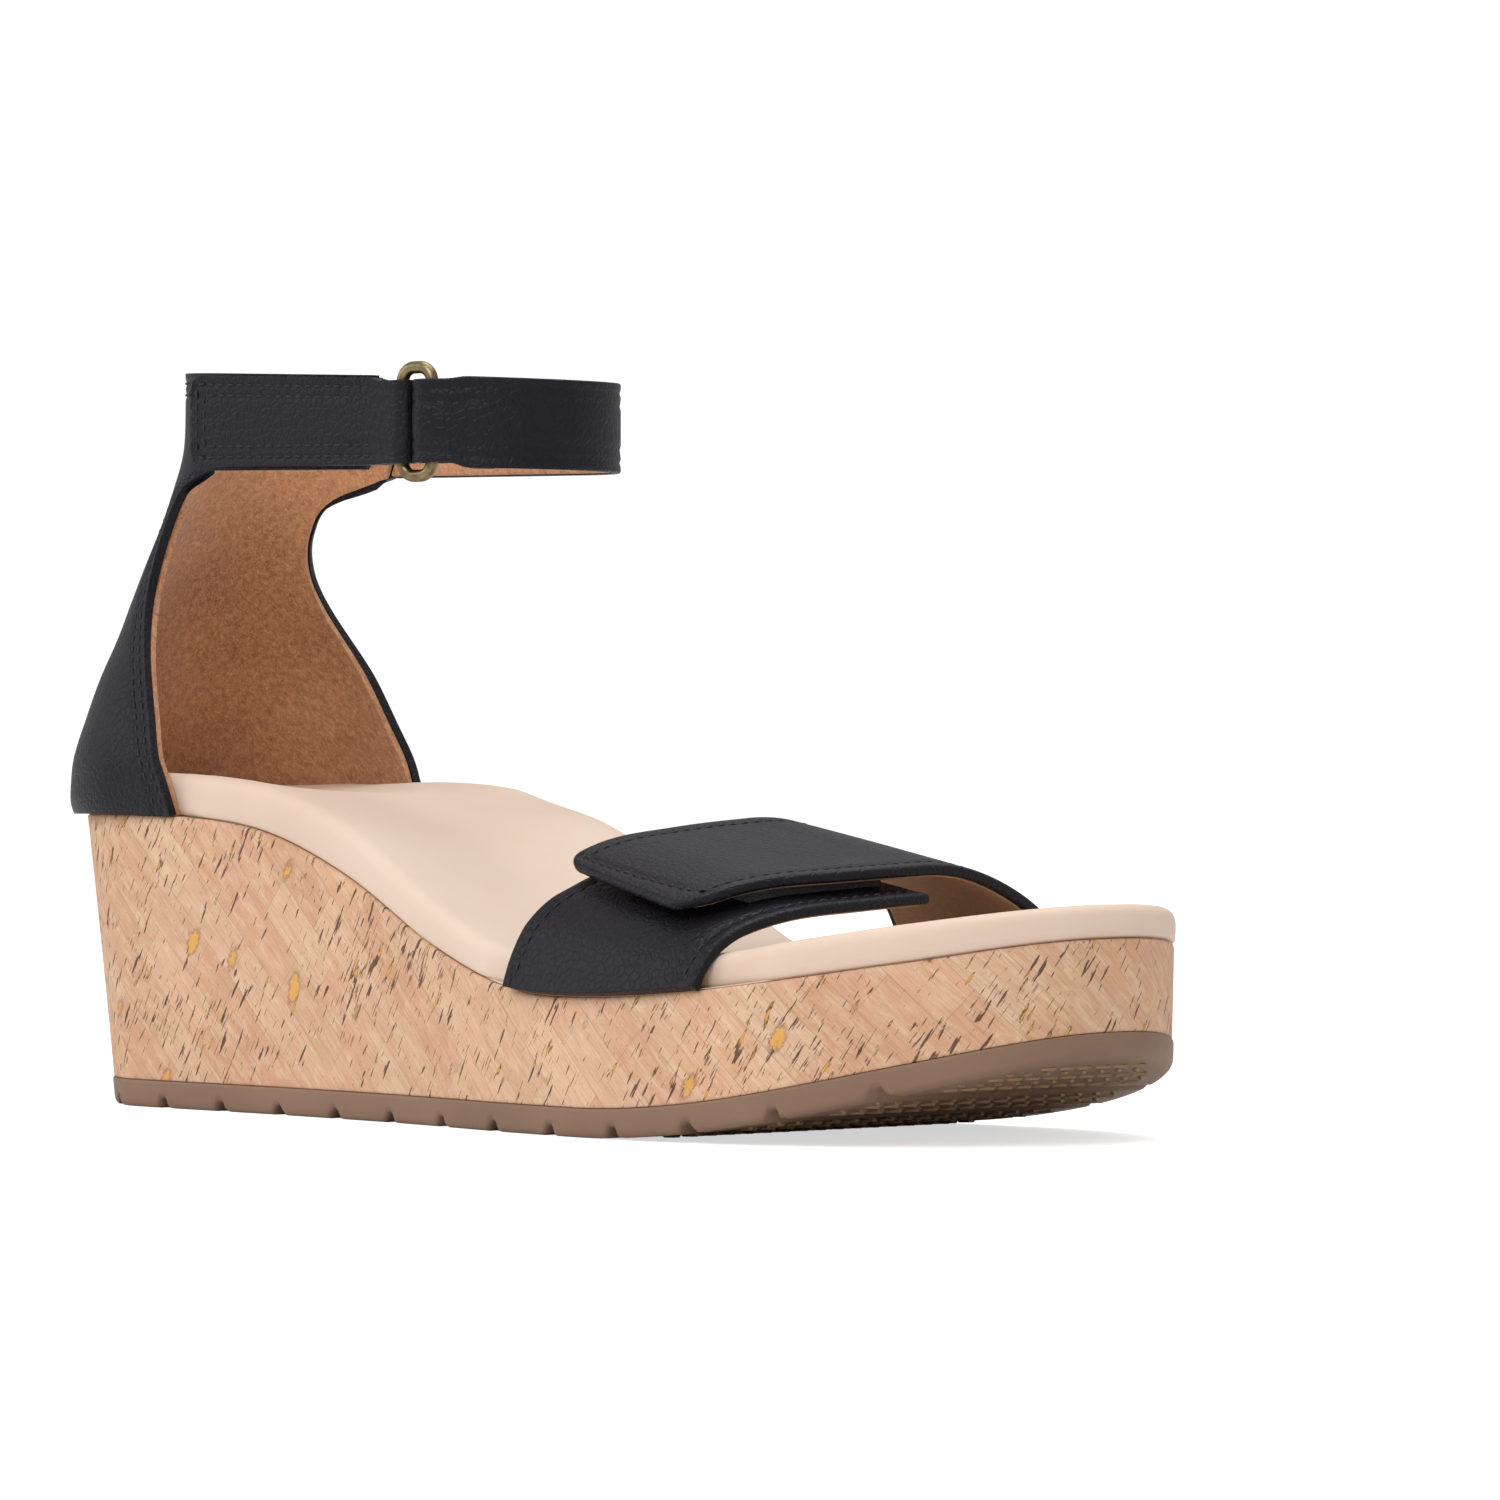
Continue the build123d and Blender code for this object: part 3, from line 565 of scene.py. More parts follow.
def cork_material():
    """Sliced cork laid as slanting staves. UV is millimetres along and up the wall."""
    g = Graph("cork")
    uv = g.coords.outputs["UV"]
    down = g.place(uv, rotate=(0, 0, math.radians(43)))
    brick = g.tree.nodes.new("ShaderNodeTexBrick")
    g.plug(brick.inputs["Vector"], down)
    staves = {"Color1": (0, 0, 0, 1), "Color2": (1, 1, 1, 1), "Mortar": (0.5, 0.5, 0.5, 1), "Scale": 1.0,
              "Mortar Size": 0.06, "Mortar Smooth": 0.7, "Bias": 0.0, "Brick Width": 21.0, "Row Height": 8.2}
    for key, value in staves.items():
        brick.inputs[key].default_value = value
    brick.offset = 0.41
    stave, seam = brick.outputs["Color"], brick.outputs["Fac"]
    fibre = g.noise(g.place(down, (0.09, 2.1, 1)), 1.0, 6, 0.74, 0.3)
    thread = g.noise(g.place(down, (0.16, 5.5, 1)), 1.0, 3, 0.6, 0.2)
    mottled = g.noise(g.place(down, (0.16, 0.42, 1)), 1.0, 5, 0.65, 0.6)
    speck = g.noise(g.place(uv, (2.6, 2.6, 1)), 1.0, 4, 0.7)
    base = g.ramp(stave, [(0.0, srgb(222, 176, 142)), (0.25, srgb(206, 160, 126)), (0.5, srgb(219, 182, 150)),
                          (0.75, srgb(211, 162, 132)), (1.0, srgb(228, 190, 156))])
    pale = g.mix(g.math("MULTIPLY", g.level(mottled, 0.45, 0.66), 0.6), base, srgb(232, 202, 170))
    grain = g.mix(g.math("MULTIPLY", g.level(fibre, 0.48, 0.66), 0.55), pale, srgb(184, 136, 104))
    grain = g.mix(g.math("MULTIPLY", g.level(thread, 0.52, 0.66), 0.3), grain, srgb(168, 122, 92))
    dots = g.mix(g.math("MULTIPLY", g.level(speck, 0.58, 0.70), 0.45), grain, srgb(156, 112, 82))

    # bark pockets: thin dark slits that lean the other way, in loose clusters, some with golden cores
    up = g.place(uv, rotate=(0, 0, math.radians(-57)), move=(31.0, 17.0, 0))
    gate = g.noise(g.place(uv, (0.045, 0.045, 1), move=(11, 5, 0)), 1.0, 3, 0.6)
    rag = g.math("MULTIPLY", g.noise(g.place(uv, (1.6, 1.6, 1)), 1.0, 4, 0.75), 0.11)
    slit = g.noise(g.place(up, (0.15, 0.95, 1)), 1.0, 2, 0.5)
    hair = g.noise(g.place(up, (0.22, 2.3, 1), move=(5, 9, 0)), 1.0, 2, 0.5)
    lift = g.math("ADD", g.math("MULTIPLY", gate, 0.30), rag)
    dark_slit = g.level(g.math("ADD", slit, lift), 0.835, 0.865)
    dark_hair = g.level(g.math("ADD", hair, lift), 0.862, 0.895)
    dark = g.math("MAXIMUM", dark_slit, g.math("MULTIPLY", dark_hair, 0.85))
    core = g.level(g.math("ADD", slit, lift), 0.872, 0.890)
    rare = g.level(g.noise(g.place(uv, (0.11, 0.11, 1), move=(3, 40, 0)), 1.0, 1, 0.5), 0.52, 0.56)
    cells = g.place(up, (0.045, 0.085, 1))
    fleck = g.node("TexVoronoi", 0, {"Vector": cells, "Scale": 1.0, "Randomness": 1.0})
    ragged = g.noise(g.place(uv, (0.9, 0.9, 1)), 1.0, 4, 0.7)
    fleck_edge = g.math("ADD", fleck, g.math("MULTIPLY", ragged, 0.16))
    fleck_edge = g.math("SUBTRACT", fleck_edge, 0.02)
    gold = g.math("SUBTRACT", 1.0, g.level(fleck_edge, 0.155, 0.170))
    halo = g.math("SUBTRACT", 1.0, g.level(fleck_edge, 0.178, 0.210))
    gold = g.math("MAXIMUM", gold, g.math("MULTIPLY", core, rare))
    colour = g.mix(g.math("MULTIPLY", halo, 0.5), dots, srgb(128, 86, 54))
    colour = g.mix(g.math("MULTIPLY", dark, 0.9), colour, srgb(84, 56, 44))
    colour = g.mix(g.math("MULTIPLY", gold, 0.9), colour, srgb(226, 170, 84))
    colour = g.mix(g.math("MULTIPLY", seam, 0.55), colour, srgb(146, 104, 80))
    height = g.math("SUBTRACT", g.math("MULTIPLY", fibre, 0.5), g.math("MULTIPLY", dark, 0.9))
    height = g.math("SUBTRACT", height, g.math("MULTIPLY", seam, 0.3))
    height = g.math("ADD", height, g.math("MULTIPLY", speck, 0.25))
    rough = g.math("ADD", g.math("MULTIPLY", dark, 0.25), 0.6)
    return g.finish(colour, rough, g.bump(height, 0.6, 0.25), **{"Specular IOR Level": 0.3})


def brass_material():
    g = Graph("antique_brass")
    p = g.place()
    cloud = g.noise(p, 260.0, 4, 0.6)
    fine = g.noise(p, 2500.0, 2, 0.5)
    colour = g.mix(g.level(cloud, 0.35, 0.65), srgb(96, 82, 58), srgb(158, 140, 106))
    rough = g.math("ADD", g.math("MULTIPLY", cloud, 0.25), 0.22)
    return g.finish(colour, rough, g.bump(fine, 0.1, 0.05), Metallic=1.0)


def thread_material(name, colour):
    g = Graph(name)
    twist = g.node("TexWave", 0, {"Vector": g.place(), "Scale": 900.0, "Distortion": 1.0})
    tone = g.mix(twist, tuple(0.6 * c for c in colour), tuple(1.5 * c for c in colour))
    return g.finish(tone, 0.6, g.bump(twist, 0.5, 0.08))


def tape_material():
    g = Graph("tape_black")
    p = g.place()
    fuzz = g.noise(p, 1500.0, 5, 0.8)
    colour = g.mix(fuzz, srgb(22, 21, 24), srgb(58, 56, 60))
    return g.finish(colour, 0.9, g.bump(fuzz, 1.0, 0.4), **{"Sheen Weight": 0.3})


def foam_material(name, a, b, scale):
    g = Graph(name)
    cells = g.node("TexVoronoi", 0, {"Vector": g.place(), "Scale": scale})
    return g.finish(g.mix(cells, a, b), 0.85, g.bump(cells, 0.4, 0.3))


def steel_material():
    g = Graph("brushed_steel")
    lines = g.noise(g.place(scale=(1, 40, 40)), 60.0, 3, 0.6)
    colour = g.mix(lines, (0.35, 0.36, 0.38), (0.6, 0.61, 0.63))
    return g.finish(colour, 0.35, g.bump(lines, 0.1, 0.05), Metallic=1.0)


LEATHER = leather_material("navy_black_leather", srgb(18, 17, 23), srgb(27, 26, 34), 0.42, 0.8)
EDGE_LEATHER = leather_material("lining_taupe", srgb(150, 118, 92), srgb(172, 140, 112), 0.55, 0.25)
SUEDE = suede_material("suede_brown", srgb(150, 100, 68), srgb(216, 160, 118))
FOOTBED = footbed_material()
RUBBER = rubber_material()
CORK = cork_material()
BRASS = brass_material()
THREAD = thread_material("thread_navy", srgb(22, 20, 30))
TAPE_CLOTH = tape_material()
CORE_FOAM = foam_material("core_foam", srgb(214, 204, 180), srgb(232, 224, 204), 600.0)
BED_FOAM = foam_material("bed_foam", srgb(224, 210, 180), srgb(240, 230, 206), 900.0)
BOARD = foam_material("fibre_board", srgb(170, 150, 120), srgb(200, 180, 150), 1400.0)
STEEL = steel_material()


# ---------------------------------------------------------------- sole unit
def wall_rings(profile, count=720):
    """Rings round the sole; profile(station) gives (grow, z) pairs, from which the wall's points come."""
    grid = []
    for k in range(count):
        station = OUTLINE[k * len(OUTLINE) // count]
        grid.append([wall_point(station, z, grow) for grow, z in profile(station)])
    return grid


def spine_fill(ring, levels, height):
    """Rows from a ring of points in towards the sole's long axis; height(x, y) sets z."""
    rows = []
    for x, y, _ in ring:
        sx = clamp(x, HEEL_X + 27, TOE_X - 34)
        sy = TOE_SWING * clamp((sx - 123) / 133) ** 2
        line = [(x + (sx - x) * t, y + (sy - y) * t) for t in levels]
        rows.append([(px, py, height(px, py)) for px, py in line])
    return rows


def merged(obj, distance=0.01):
    mesh = bmesh.new()
    mesh.from_mesh(obj.data)
    bmesh.ops.remove_doubles(mesh, verts=mesh.verts, dist=distance * MM)
    mesh.to_mesh(obj.data)
    mesh.free()
    return obj


def groove_depth(x):
    """Depth of the tread groove at a station, for the notches along the outsole's edge."""
    near = min(abs(x - g) for g in GROOVES)
    return 1.8 * ease((1.7 - near) / 0.8)


def build_outsole():
    def profile(station):
        x = station[0]
        low = ground(x) + groove_depth(x)
        top = outsole_top(x)
        rows = [(-0.9, low), (-0.35, low + 0.12), (0.0, low + 0.45), (0.22, low + 1.0)]
        rows += [(0.28, low + (top - low) * t) for t in (0.35, 0.6, 0.85)]
        rows += [(0.26, top - 0.25), (0.1, top - 0.03), (-0.3, top), (-2.0, top)]
        return rows

    side = wall_rings(profile)
    levels = [i / 26 for i in range(27)]
    under = spine_fill([row[0] for row in side], levels, lambda x, y: ground(x) + groove_depth(x))
    rows = [under[k][::-1] + side[k][1:] for k in range(len(side))]
    uvs = [[(p[0], p[1]) for p in row] for row in rows]
    obj = grid_object("outsole_rubber", rows, RUBBER, uvs, wrap=True)
    merged(obj)
    top = spine_fill([row[-1] for row in side], [i / 6 for i in range(7)], lambda x, y: outsole_top(x))
    cap = grid_object("outsole_top", top, RUBBER, None, wrap=True, flip=True)
    merged(cap)
    join(obj, [cap])
    merged(obj)
    worn(obj, "outsole_rubber", "outsole")


def join(target, others):
    """Joins meshes into target, keeping its modifiers."""
    for o in bpy.context.selected_objects:
        o.select_set(False)
    for o in others:
        o.select_set(True)
    target.select_set(True)
    bpy.context.view_layer.objects.active = target
    bpy.ops.object.join()
    return target


def build_tread():
    """Rows of short bars on the sprung toe and between the grooves underneath."""
    verts, faces = [], []
    x = SPRING_START + 14.0
    row = 0
    while x < 250:
        near = min(abs(x - g) for g in GROOVES)
        low, high = edge_y(x, -1) + 5.5, edge_y(x, 1) - 5.5
        if near > 3.2:
            y = low + (2.2 if row % 2 else 0)
            while y < high - 2.6:
                lean = 0.9 if row % 2 else -0.9
                z = ground(x) + 0.2
                base = len(verts)
                for dz, s in ((0.0, 1.0), (-0.5, 0.72)):
                    for px, py in ((-0.55, -1.3), (0.55, -1.3), (0.55, 1.3), (-0.55, 1.3)):
                        verts.append((x + px * s + lean * py * 0.5, y + 1.3 + py * s, z + dz))
                faces += [(base + 4, base + 7, base + 6, base + 5), (base, base + 1, base + 2, base + 3)]
                for i in range(4):
                    j = (i + 1) % 4
                    faces.append((base + i, base + 4 + i, base + 4 + j, base + j))
                y += 4.4
        x += 2.9
        row += 1
    obj = new_object("outsole_tread", verts, faces, TREAD, smooth_shade=False)
    worn(obj, "outsole_rubber")


def build_cork():
    def profile(station):
        x = station[0]
        low, top = outsole_top(x) + 0.02, wedge_top(x)
        rows = [(-0.35, low), (-0.05, low + 0.18)]
        count = 26
        rows += [(0.0, low + 0.5 + (top - low - 1.1) * i / count) for i in range(count + 1)]
        rows += [(-0.12, top - 0.22), (-0.45, top - 0.03), (-1.3, top)]
        return rows

    rows = wall_rings(profile)
    uv = [[(OUTLINE[k][4], p[2]) for p in row] for k, row in enumerate(rows)]
    for row in uv:
        row[-1] = (row[-1][0], row[-1][1] + 1.2)
    obj = grid_object("cork_wrap_visual", rows, CORK, uv, wrap=True)
    # the inner face of the sheet, so that it has a real thickness
    inner = [[wall_point(station, wedge_top(station[0]), -1.3),
              wall_point(station, outsole_top(station[0]) + 0.02, -1.3),
              wall_point(station, outsole_top(station[0]) + 0.02, -0.35)] for station in OUTLINE]
    back = grid_object("cork_back", inner, CORK, [[(0, 0)] * 3 for _ in inner], wrap=True)
    join(obj, [back])
    merged(obj)
    worn(obj, "cork", "cork_wrap")


BED_ROLL, BED_ROLL_WIDTH = 4.0, 4.8  # height and width of the footbed's rounded edge
ROLL_POWER = 2 / 3.1  # fuller than a circle


def build_footbed():
    """Soft covered footbed: a rolled edge over the cork, then the dished top."""
    def profile(station):
        x, y = station[0], station[1]
        inset = bed_inset(x)
        low = wedge_top(x) + 0.05
        top = bed(x, y)
        tall = top - low
        flange = -0.9 - quarter_inset(x)  # the cover's thin margin, glued down out to the cork sheet
        rows = [(-1.4 - inset, low), (flange, low), (flange, low + 0.22), (-0.5 - inset, low + 0.24)]
        rows.append((-0.25 - inset, low + 0.45))
        roll = min(BED_ROLL, tall * 0.75)
        rows += [(0.15 - inset, low + (tall - roll) * t) for t in (0.35, 0.75)]
        for i in range(11):
            a = math.pi / 2 * i / 10
            over, up = 1 - math.cos(a) ** ROLL_POWER, math.sin(a) ** ROLL_POWER
            rows.append((0.2 - inset - BED_ROLL_WIDTH * over, low + tall - roll + roll * up))
        return rows

    side = wall_rings(profile)
    for k, row in enumerate(side):
        edge = bed(OUTLINE[k][0], OUTLINE[k][1])
        for i in range(1, 11):
            x, y, z = row[i - 11]
            row[i - 11] = (x, y, z + (bed(x, y) - edge) * math.sin(math.pi / 2 * i / 10) ** 2)
    inner = spine_fill([row[-1] for row in side], [i / 30 for i in range(31)], bed)
    rows = [side[k] + inner[k][1:] for k in range(len(side))]
    uv = [[(p[0], p[1]) for p in row] for row in rows]
    obj = grid_object("footbed_top", rows, FOOTBED, uv, wrap=True)
    under = spine_fill([row[0] for row in side], [i / 6 for i in range(7)],
                       lambda x, y: wedge_top(x) + 0.05)
    under_uv = [[(p[0], p[1]) for p in row] for row in under]
    base = grid_object("footbed_base", under, FOOTBED, under_uv, wrap=True, flip=True)
    join(obj, [base])
    merged(obj)
    worn(obj, "footbed_leather", "footbed_cover")


def tread_material():
    g = Graph("tread_rubber")
    fine = g.noise(g.place(), 900.0, 3, 0.6)
    colour = g.mix(fine, srgb(140, 110, 82), srgb(164, 132, 96))
    return g.finish(colour, 0.5, g.bump(fine, 0.2, 0.1))


TREAD = tread_material()
build_outsole()
build_tread()
build_cork()
build_footbed()


# ---------------------------------------------------------------- quarter with its ankle band
class QuarterMap:
    """Caches the loop at each height, so that a grid over the quarter is quick to work out."""

    def __init__(self):
        self.loops = {}

    def loop(self, z):
        key = round(z, 2)
        if key not in self.loops:
            self.loops[key] = quarter_loop(key)
        return self.loops[key]

    def point(self, z, s, depth):
        x, y, nx, ny = self.loop(z).at(s)
        return (x - nx * depth, y - ny * depth, z)

    def normal(self, z, s):
        _, _, nx, ny = self.loop(z).at(s)
        return (nx, ny, 0.12)


QMAP = QuarterMap()
BAND_JOIN = 120.1
QUARTER_FOOT = 55.2  # height of the quarter's lowest row before it follows the wedge's edge
QUARTER_LEATHER = 1.75
THREAD_ROWS = (1.9, 4.1)  # from an edge to its double row of stitches


def puff(distance, rows=THREAD_ROWS, width=0.55, depth=0.30):
    """Height of the leather at a distance from a stitched edge: a groove under each row of stitches."""
    lift = 0.0
    for row in rows:
        lift -= depth * math.exp(-((distance - row) / width) ** 2)
    return lift


def quarter_sheet(name, depth, material, trim, stitched):
    """The quarter from the wedge to the top of the band, at a depth under its outside surface."""
    columns = 150
    levels = [i / 84 for i in range(85)]
    verts, faces, uvs = [], [], []
    body = []
    for level in levels:
        z = QUARTER_FOOT + (BAND_JOIN - QUARTER_FOOT) * level
        loop = QMAP.loop(z)
        a = loop.arc_of(edge_x(LATERAL_EDGE, z) - trim, -1)
        b = loop.arc_of(edge_x(MEDIAL_EDGE, z) - trim, 1)
        row = []
        for j in range(columns + 1):
            t = j / columns
            t = t - 0.035 * math.sin(2 * math.pi * t)
            s = a + (b - a) * t
            edge = min(s - a, b - s)
            foot = wedge_top(loop.at(s)[0]) + 0.05
            here = z + (foot - QUARTER_FOOT) * (1 - level) ** 3
            lift = puff(edge + trim) if stitched else 0.0
            row.append((s, here, depth - lift))
        body.append(row)
    index = {}
    for i, row in enumerate(body):
        for j, (s, z, d) in enumerate(row):
            index[i, j] = len(verts)
            verts.append(QMAP.point(z, s, d))
            uvs.append((s, z))
    for i in range(len(body) - 1):
        for j in range(columns):
            faces.append((index[i, j], index[i, j + 1], index[i + 1, j + 1], index[i + 1, j]))
    # the band continues past both sides of the body
    lateral_end = QMAP.loop(130).arc_of(BAND_END - trim, -1)
    extra = 44
    row_s = [top[0] for top in body[-1]]
    left = [lateral_end + (row_s[0] - lateral_end) * i / extra for i in range(extra)]
    all_s = left + row_s
    band_rows = 26
    band = {}
    for j, s in enumerate(all_s):
        inside = j >= extra
        x_here = QMAP.loop(130).at(s)[0]
        high = band_high(x_here) - trim
        low = band_low(x_here) + trim
        for i in range(band_rows + 1):
            t = i / band_rows
            if inside and i == 0:
                band[i, j] = index[len(body) - 1, j - extra]
                continue
            z = (BAND_JOIN if inside else low) * (1 - t) + high * t
            rise = puff(high + trim - z) if stitched else 0.0
            if stitched and not inside:
                rise += puff(z - low + trim)
            band[i, j] = len(verts)
            verts.append(QMAP.point(z, s, depth - rise))
            uvs.append((s, z))
    for j in range(len(all_s) - 1):
        for i in range(band_rows):
            faces.append((band[i, j], band[i, j + 1], band[i + 1, j + 1], band[i + 1, j]))
    obj = new_object(name, verts, faces, material, uvs)
    return outward_faces(obj, probe=lambda face: face.calc_center_median().y)


def build_quarter():
    outer = quarter_sheet("quarter_leather", 0.0, LEATHER, 0.0, True)
    thicken(outer, QUARTER_LEATHER)
    worn(outer, "black_leather", "quarter_outer")
    depth = QUARTER_LEATHER + 0.1
    lining = quarter_sheet("quarter_suede", depth, SUEDE, 0.35, False)
    thicken(lining, LAYERS - depth, 0.35)
    worn(lining, "suede", "quarter_lining")


build_quarter()


# ---------------------------------------------------------------- strips of strap
def strip(name, path, low, high, thickness, material, rows=22, edge_rows=THREAD_ROWS, trim=0.0):
    """Upright strip along a plan-view path of (x, y, nx, ny), thickened inwards from its outside surface."""
    grid, uvs = [], []
    run = 0.0
    for i, (x, y, nx, ny) in enumerate(path):
        if i:
            run += math.hypot(x - path[i - 1][0], y - path[i - 1][1])
        a = (low[i] if isinstance(low, list) else low(x)) + trim
        b = (high[i] if isinstance(high, list) else high(x)) - trim
        line, mark = [], []
        for k in range(rows + 1):
            t = k / rows
            t = t - 0.06 * math.sin(2 * math.pi * t)
            z = a + (b - a) * t
            lift = puff(z - a, edge_rows) + puff(b - z, edge_rows) if edge_rows else 0.0
            line.append((x + nx * lift, y + ny * lift, z))
            mark.append((run, z))
        grid.append(line)
        uvs.append(mark)
    obj = grid_object(name, grid, material, uvs)
    thicken(obj, thickness)
    return obj


def narrowed(path, height, bar, side):
    """Edge heights along a strap, drawn in where it passes between the ring's ends."""
    heights = []
    for x, y, _, _ in path:
        near = math.hypot(x - bar.x, y - bar.y)
        share = ease((7.4 - near) / 3.5)
        full = height(x)
        heights.append(full * (1 - share) + (RING_Z + side * STRAP_NECK) * share)
    return heights


def loop_path(loop, s_from, s_to, offset, step=1.0):
    count = max(int(abs(s_to - s_from) / step), 2)
    path = []
    for i in range(count + 1):
        s = s_from + (s_to - s_from) * i / count
        x, y, nx, ny = loop.at(s)
        path.append((x + nx * offset, y + ny * offset, nx, ny))
    return path


RING_ALONG = Vector((math.cos(math.radians(RING_TURN)), math.sin(math.radians(RING_TURN)), 0))
RING_OUT = Vector((math.sin(math.radians(RING_TURN)), -math.cos(math.radians(RING_TURN)), 0))
RING_CENTRE = Vector((STRAP_FRONT[0], 0, 0)) + RING_OUT * STRAP_FRONT[2]
FRONT_BAR = RING_CENTRE + RING_ALONG * RING_HALF
REAR_BAR = RING_CENTRE - RING_ALONG * RING_HALF
RING_Z = (band_low(RING_CENTRE.x) + band_high(RING_CENTRE.x)) / 2
FOLD_RADIUS = 2.4  # of a strap's outside where it folds round a bar
STRAP_NECK = 7.6  # half the straps' height where they fold round the ring's bars


def fold_path(bar, toward, reach=2.55, radius=FOLD_RADIUS):
    """Half an ellipse round a bar, from the outside to the inside; toward points at the ring's middle."""
    path = []
    for i in range(13):
        a = math.pi * i / 12
        p = bar + RING_OUT * (radius * math.cos(a)) + toward * (reach * math.sin(a))
        n = (RING_OUT * (math.cos(a) / radius) + toward * (math.sin(a) / reach)).normalized()
        path.append((p.x, p.y, n.x, n.y))
    return path


def ease_to_bar(path, bar, span):
    """Moves the end of a strap's outside surface out to the fold's radius over its last span millimetres."""
    end = bar + RING_OUT * FOLD_RADIUS
    last = path[-1]
    dx, dy = end.x - last[0], end.y - last[1]
    total = 0.0
    lengths = [0.0]
    for i in range(len(path) - 1, 0, -1):
        total += math.hypot(path[i][0] - path[i - 1][0], path[i][1] - path[i - 1][1])
        lengths.append(total)
    lengths = lengths[::-1]
    out = []
    for (x, y, nx, ny), back in zip(path, lengths):
        w = ease(1 - back / span)
        out.append((x + dx * w, y + dy * w, nx, ny))
    return out


# two places across the ankle strap, handed to bent, which does not read them
STRAP_BEND = {"body": "ankle_strap", "start": place((84.0, 23.8, 127.0)), "end": place((103.5, 23.8, 127.0))}


def build_ankle_strap():
    loop = Loop(STRAP_BACK, STRAP_FRONT)
    start = loop.arc_of(STRAP_START + 0.4, 1)
    bar_s = loop.s3
    for i in range(4000):
        s = loop.s2 + i * 0.02
        x, y, _, _ = loop.at(s)
        if y < 0 and (Vector((x, y, 0)) - FRONT_BAR).dot(RING_ALONG) <= 0.0:
            bar_s = s
            break
    outside = loop_path(loop, start, bar_s, HALF, 0.9)
    outside = ease_to_bar(outside, FRONT_BAR, 9.0)
    fold = fold_path(FRONT_BAR, -RING_ALONG)
    tail = []
    for i in range(1, 11):
        x, y, nx, ny = loop.at(bar_s - 1.2 * i)
        w = STRAP_LEATHER + (FOLD_RADIUS - STRAP_LEATHER) * (1 - ease(i / 6))
        tail.append((x - nx * w, y - ny * w, -nx, -ny))
    path = outside + fold[1:] + tail
    lows = narrowed(path, band_low, FRONT_BAR, -1)
    highs = narrowed(path, band_high, FRONT_BAR, 1)
    strap = strip("ankle_strap_leather", path, lows, highs, STRAP_LEATHER, LEATHER)
    bent(strap, "black_leather", "ankle_strap_outer", "strap_anchor_outer", **STRAP_BEND)
    inside = loop_path(loop, start, bar_s - 14.5, -0.02, 0.9)
    lining = strip("ankle_strap_suede", inside, band_low, band_high, STRAP_LEATHER, SUEDE,
                   edge_rows=(), trim=0.3)
    bent(lining, "suede", "ankle_strap_lining", "strap_anchor_lining", **STRAP_BEND)
    return loop, start, bar_s


def tab_low(x):
    return band_low(x) + 0.6


def tab_high(x):
    return band_high(x) - 0.6


TAB_ROWS = (1.7, 3.7)


def build_tab():
    loop = Loop(TAB_BACK, STRAP_FRONT)
    tip = loop.arc_of(TAB_TIP, -1) % loop.length
    bar_s = loop.s3
    for i in range(6000):
        s = loop.s3 - 12 + i * 0.01
        x, y, _, _ = loop.at(s)
        if (Vector((x, y, 0)) - REAR_BAR).dot(RING_ALONG) <= 0.0:
            bar_s = s
            break
    outside = loop_path(loop, tip, bar_s, HALF, 0.8)
    outside = ease_to_bar(outside, REAR_BAR, 9.0)
    fold = fold_path(REAR_BAR, RING_ALONG)
    inner = []
    count = int((tip - bar_s) / 0.8)
    for i in range(1, count + 1):
        s = bar_s + (tip - bar_s) * i / count
        x, y, nx, ny = loop.at(s)
        w = HALF + STRAP_LEATHER * (1 - ease((s - bar_s) / 8.0))
        inner.append((x - nx * w, y - ny * w, -nx, -ny))
    path = outside + fold[1:] + inner
    lows = narrowed(path, tab_low, REAR_BAR, -1)
    highs = narrowed(path, tab_high, REAR_BAR, 1)
    radius = 3.2
    total = len(outside)

    def corner(distance):
        return radius - math.sqrt(max(radius ** 2 - (radius - clamp(distance, 0, radius)) ** 2, 0.0))

    grid, uvs = [], []
    run = 0.0
    for i, (x, y, nx, ny) in enumerate(path):
        if i:
            run += math.hypot(x - path[i - 1][0], y - path[i - 1][1])
        beyond = range(i) if i < total else range(i, len(path) - 1)
        from_tip = sum(math.hypot(path[k + 1][0] - path[k][0], path[k + 1][1] - path[k][1]) for k in beyond)
        cut = corner(from_tip)
        a, b = lows[i] + cut, highs[i] - cut
        line, mark = [], []
        for k in range(23):
            t = k / 22
            t = t - 0.06 * math.sin(2 * math.pi * t)
            z = a + (b - a) * t
            lift = 0.0
            if i < total - 3:
                lift = puff(z - a, TAB_ROWS) + puff(b - z, TAB_ROWS) + puff(from_tip, TAB_ROWS)
            line.append((x + nx * lift, y + ny * lift, z))
            mark.append((run, z))
        grid.append(line)
        uvs.append(mark)
    tab = grid_object("closure_tab_leather", grid, LEATHER, uvs)
    orient(tab, outward=(0, -1, 0), near=place((70, -30, 128)))
    thicken(tab, STRAP_LEATHER)
    worn(tab, "black_leather", "tab_outer", "tab_lining", body="closure_tab")
    return loop, tip, bar_s


def orient(obj, outward, near):
    """Turns the sheet's faces so that the one closest to near faces outward."""
    mesh = bmesh.new()
    mesh.from_mesh(obj.data)
    target = Vector(near)
    face = min(mesh.faces, key=lambda f: (f.calc_center_median() - target).length)
    if face.normal.dot(Vector(outward)) < 0:
        bmesh.ops.reverse_faces(mesh, faces=mesh.faces)
    mesh.to_mesh(obj.data)
    mesh.free()


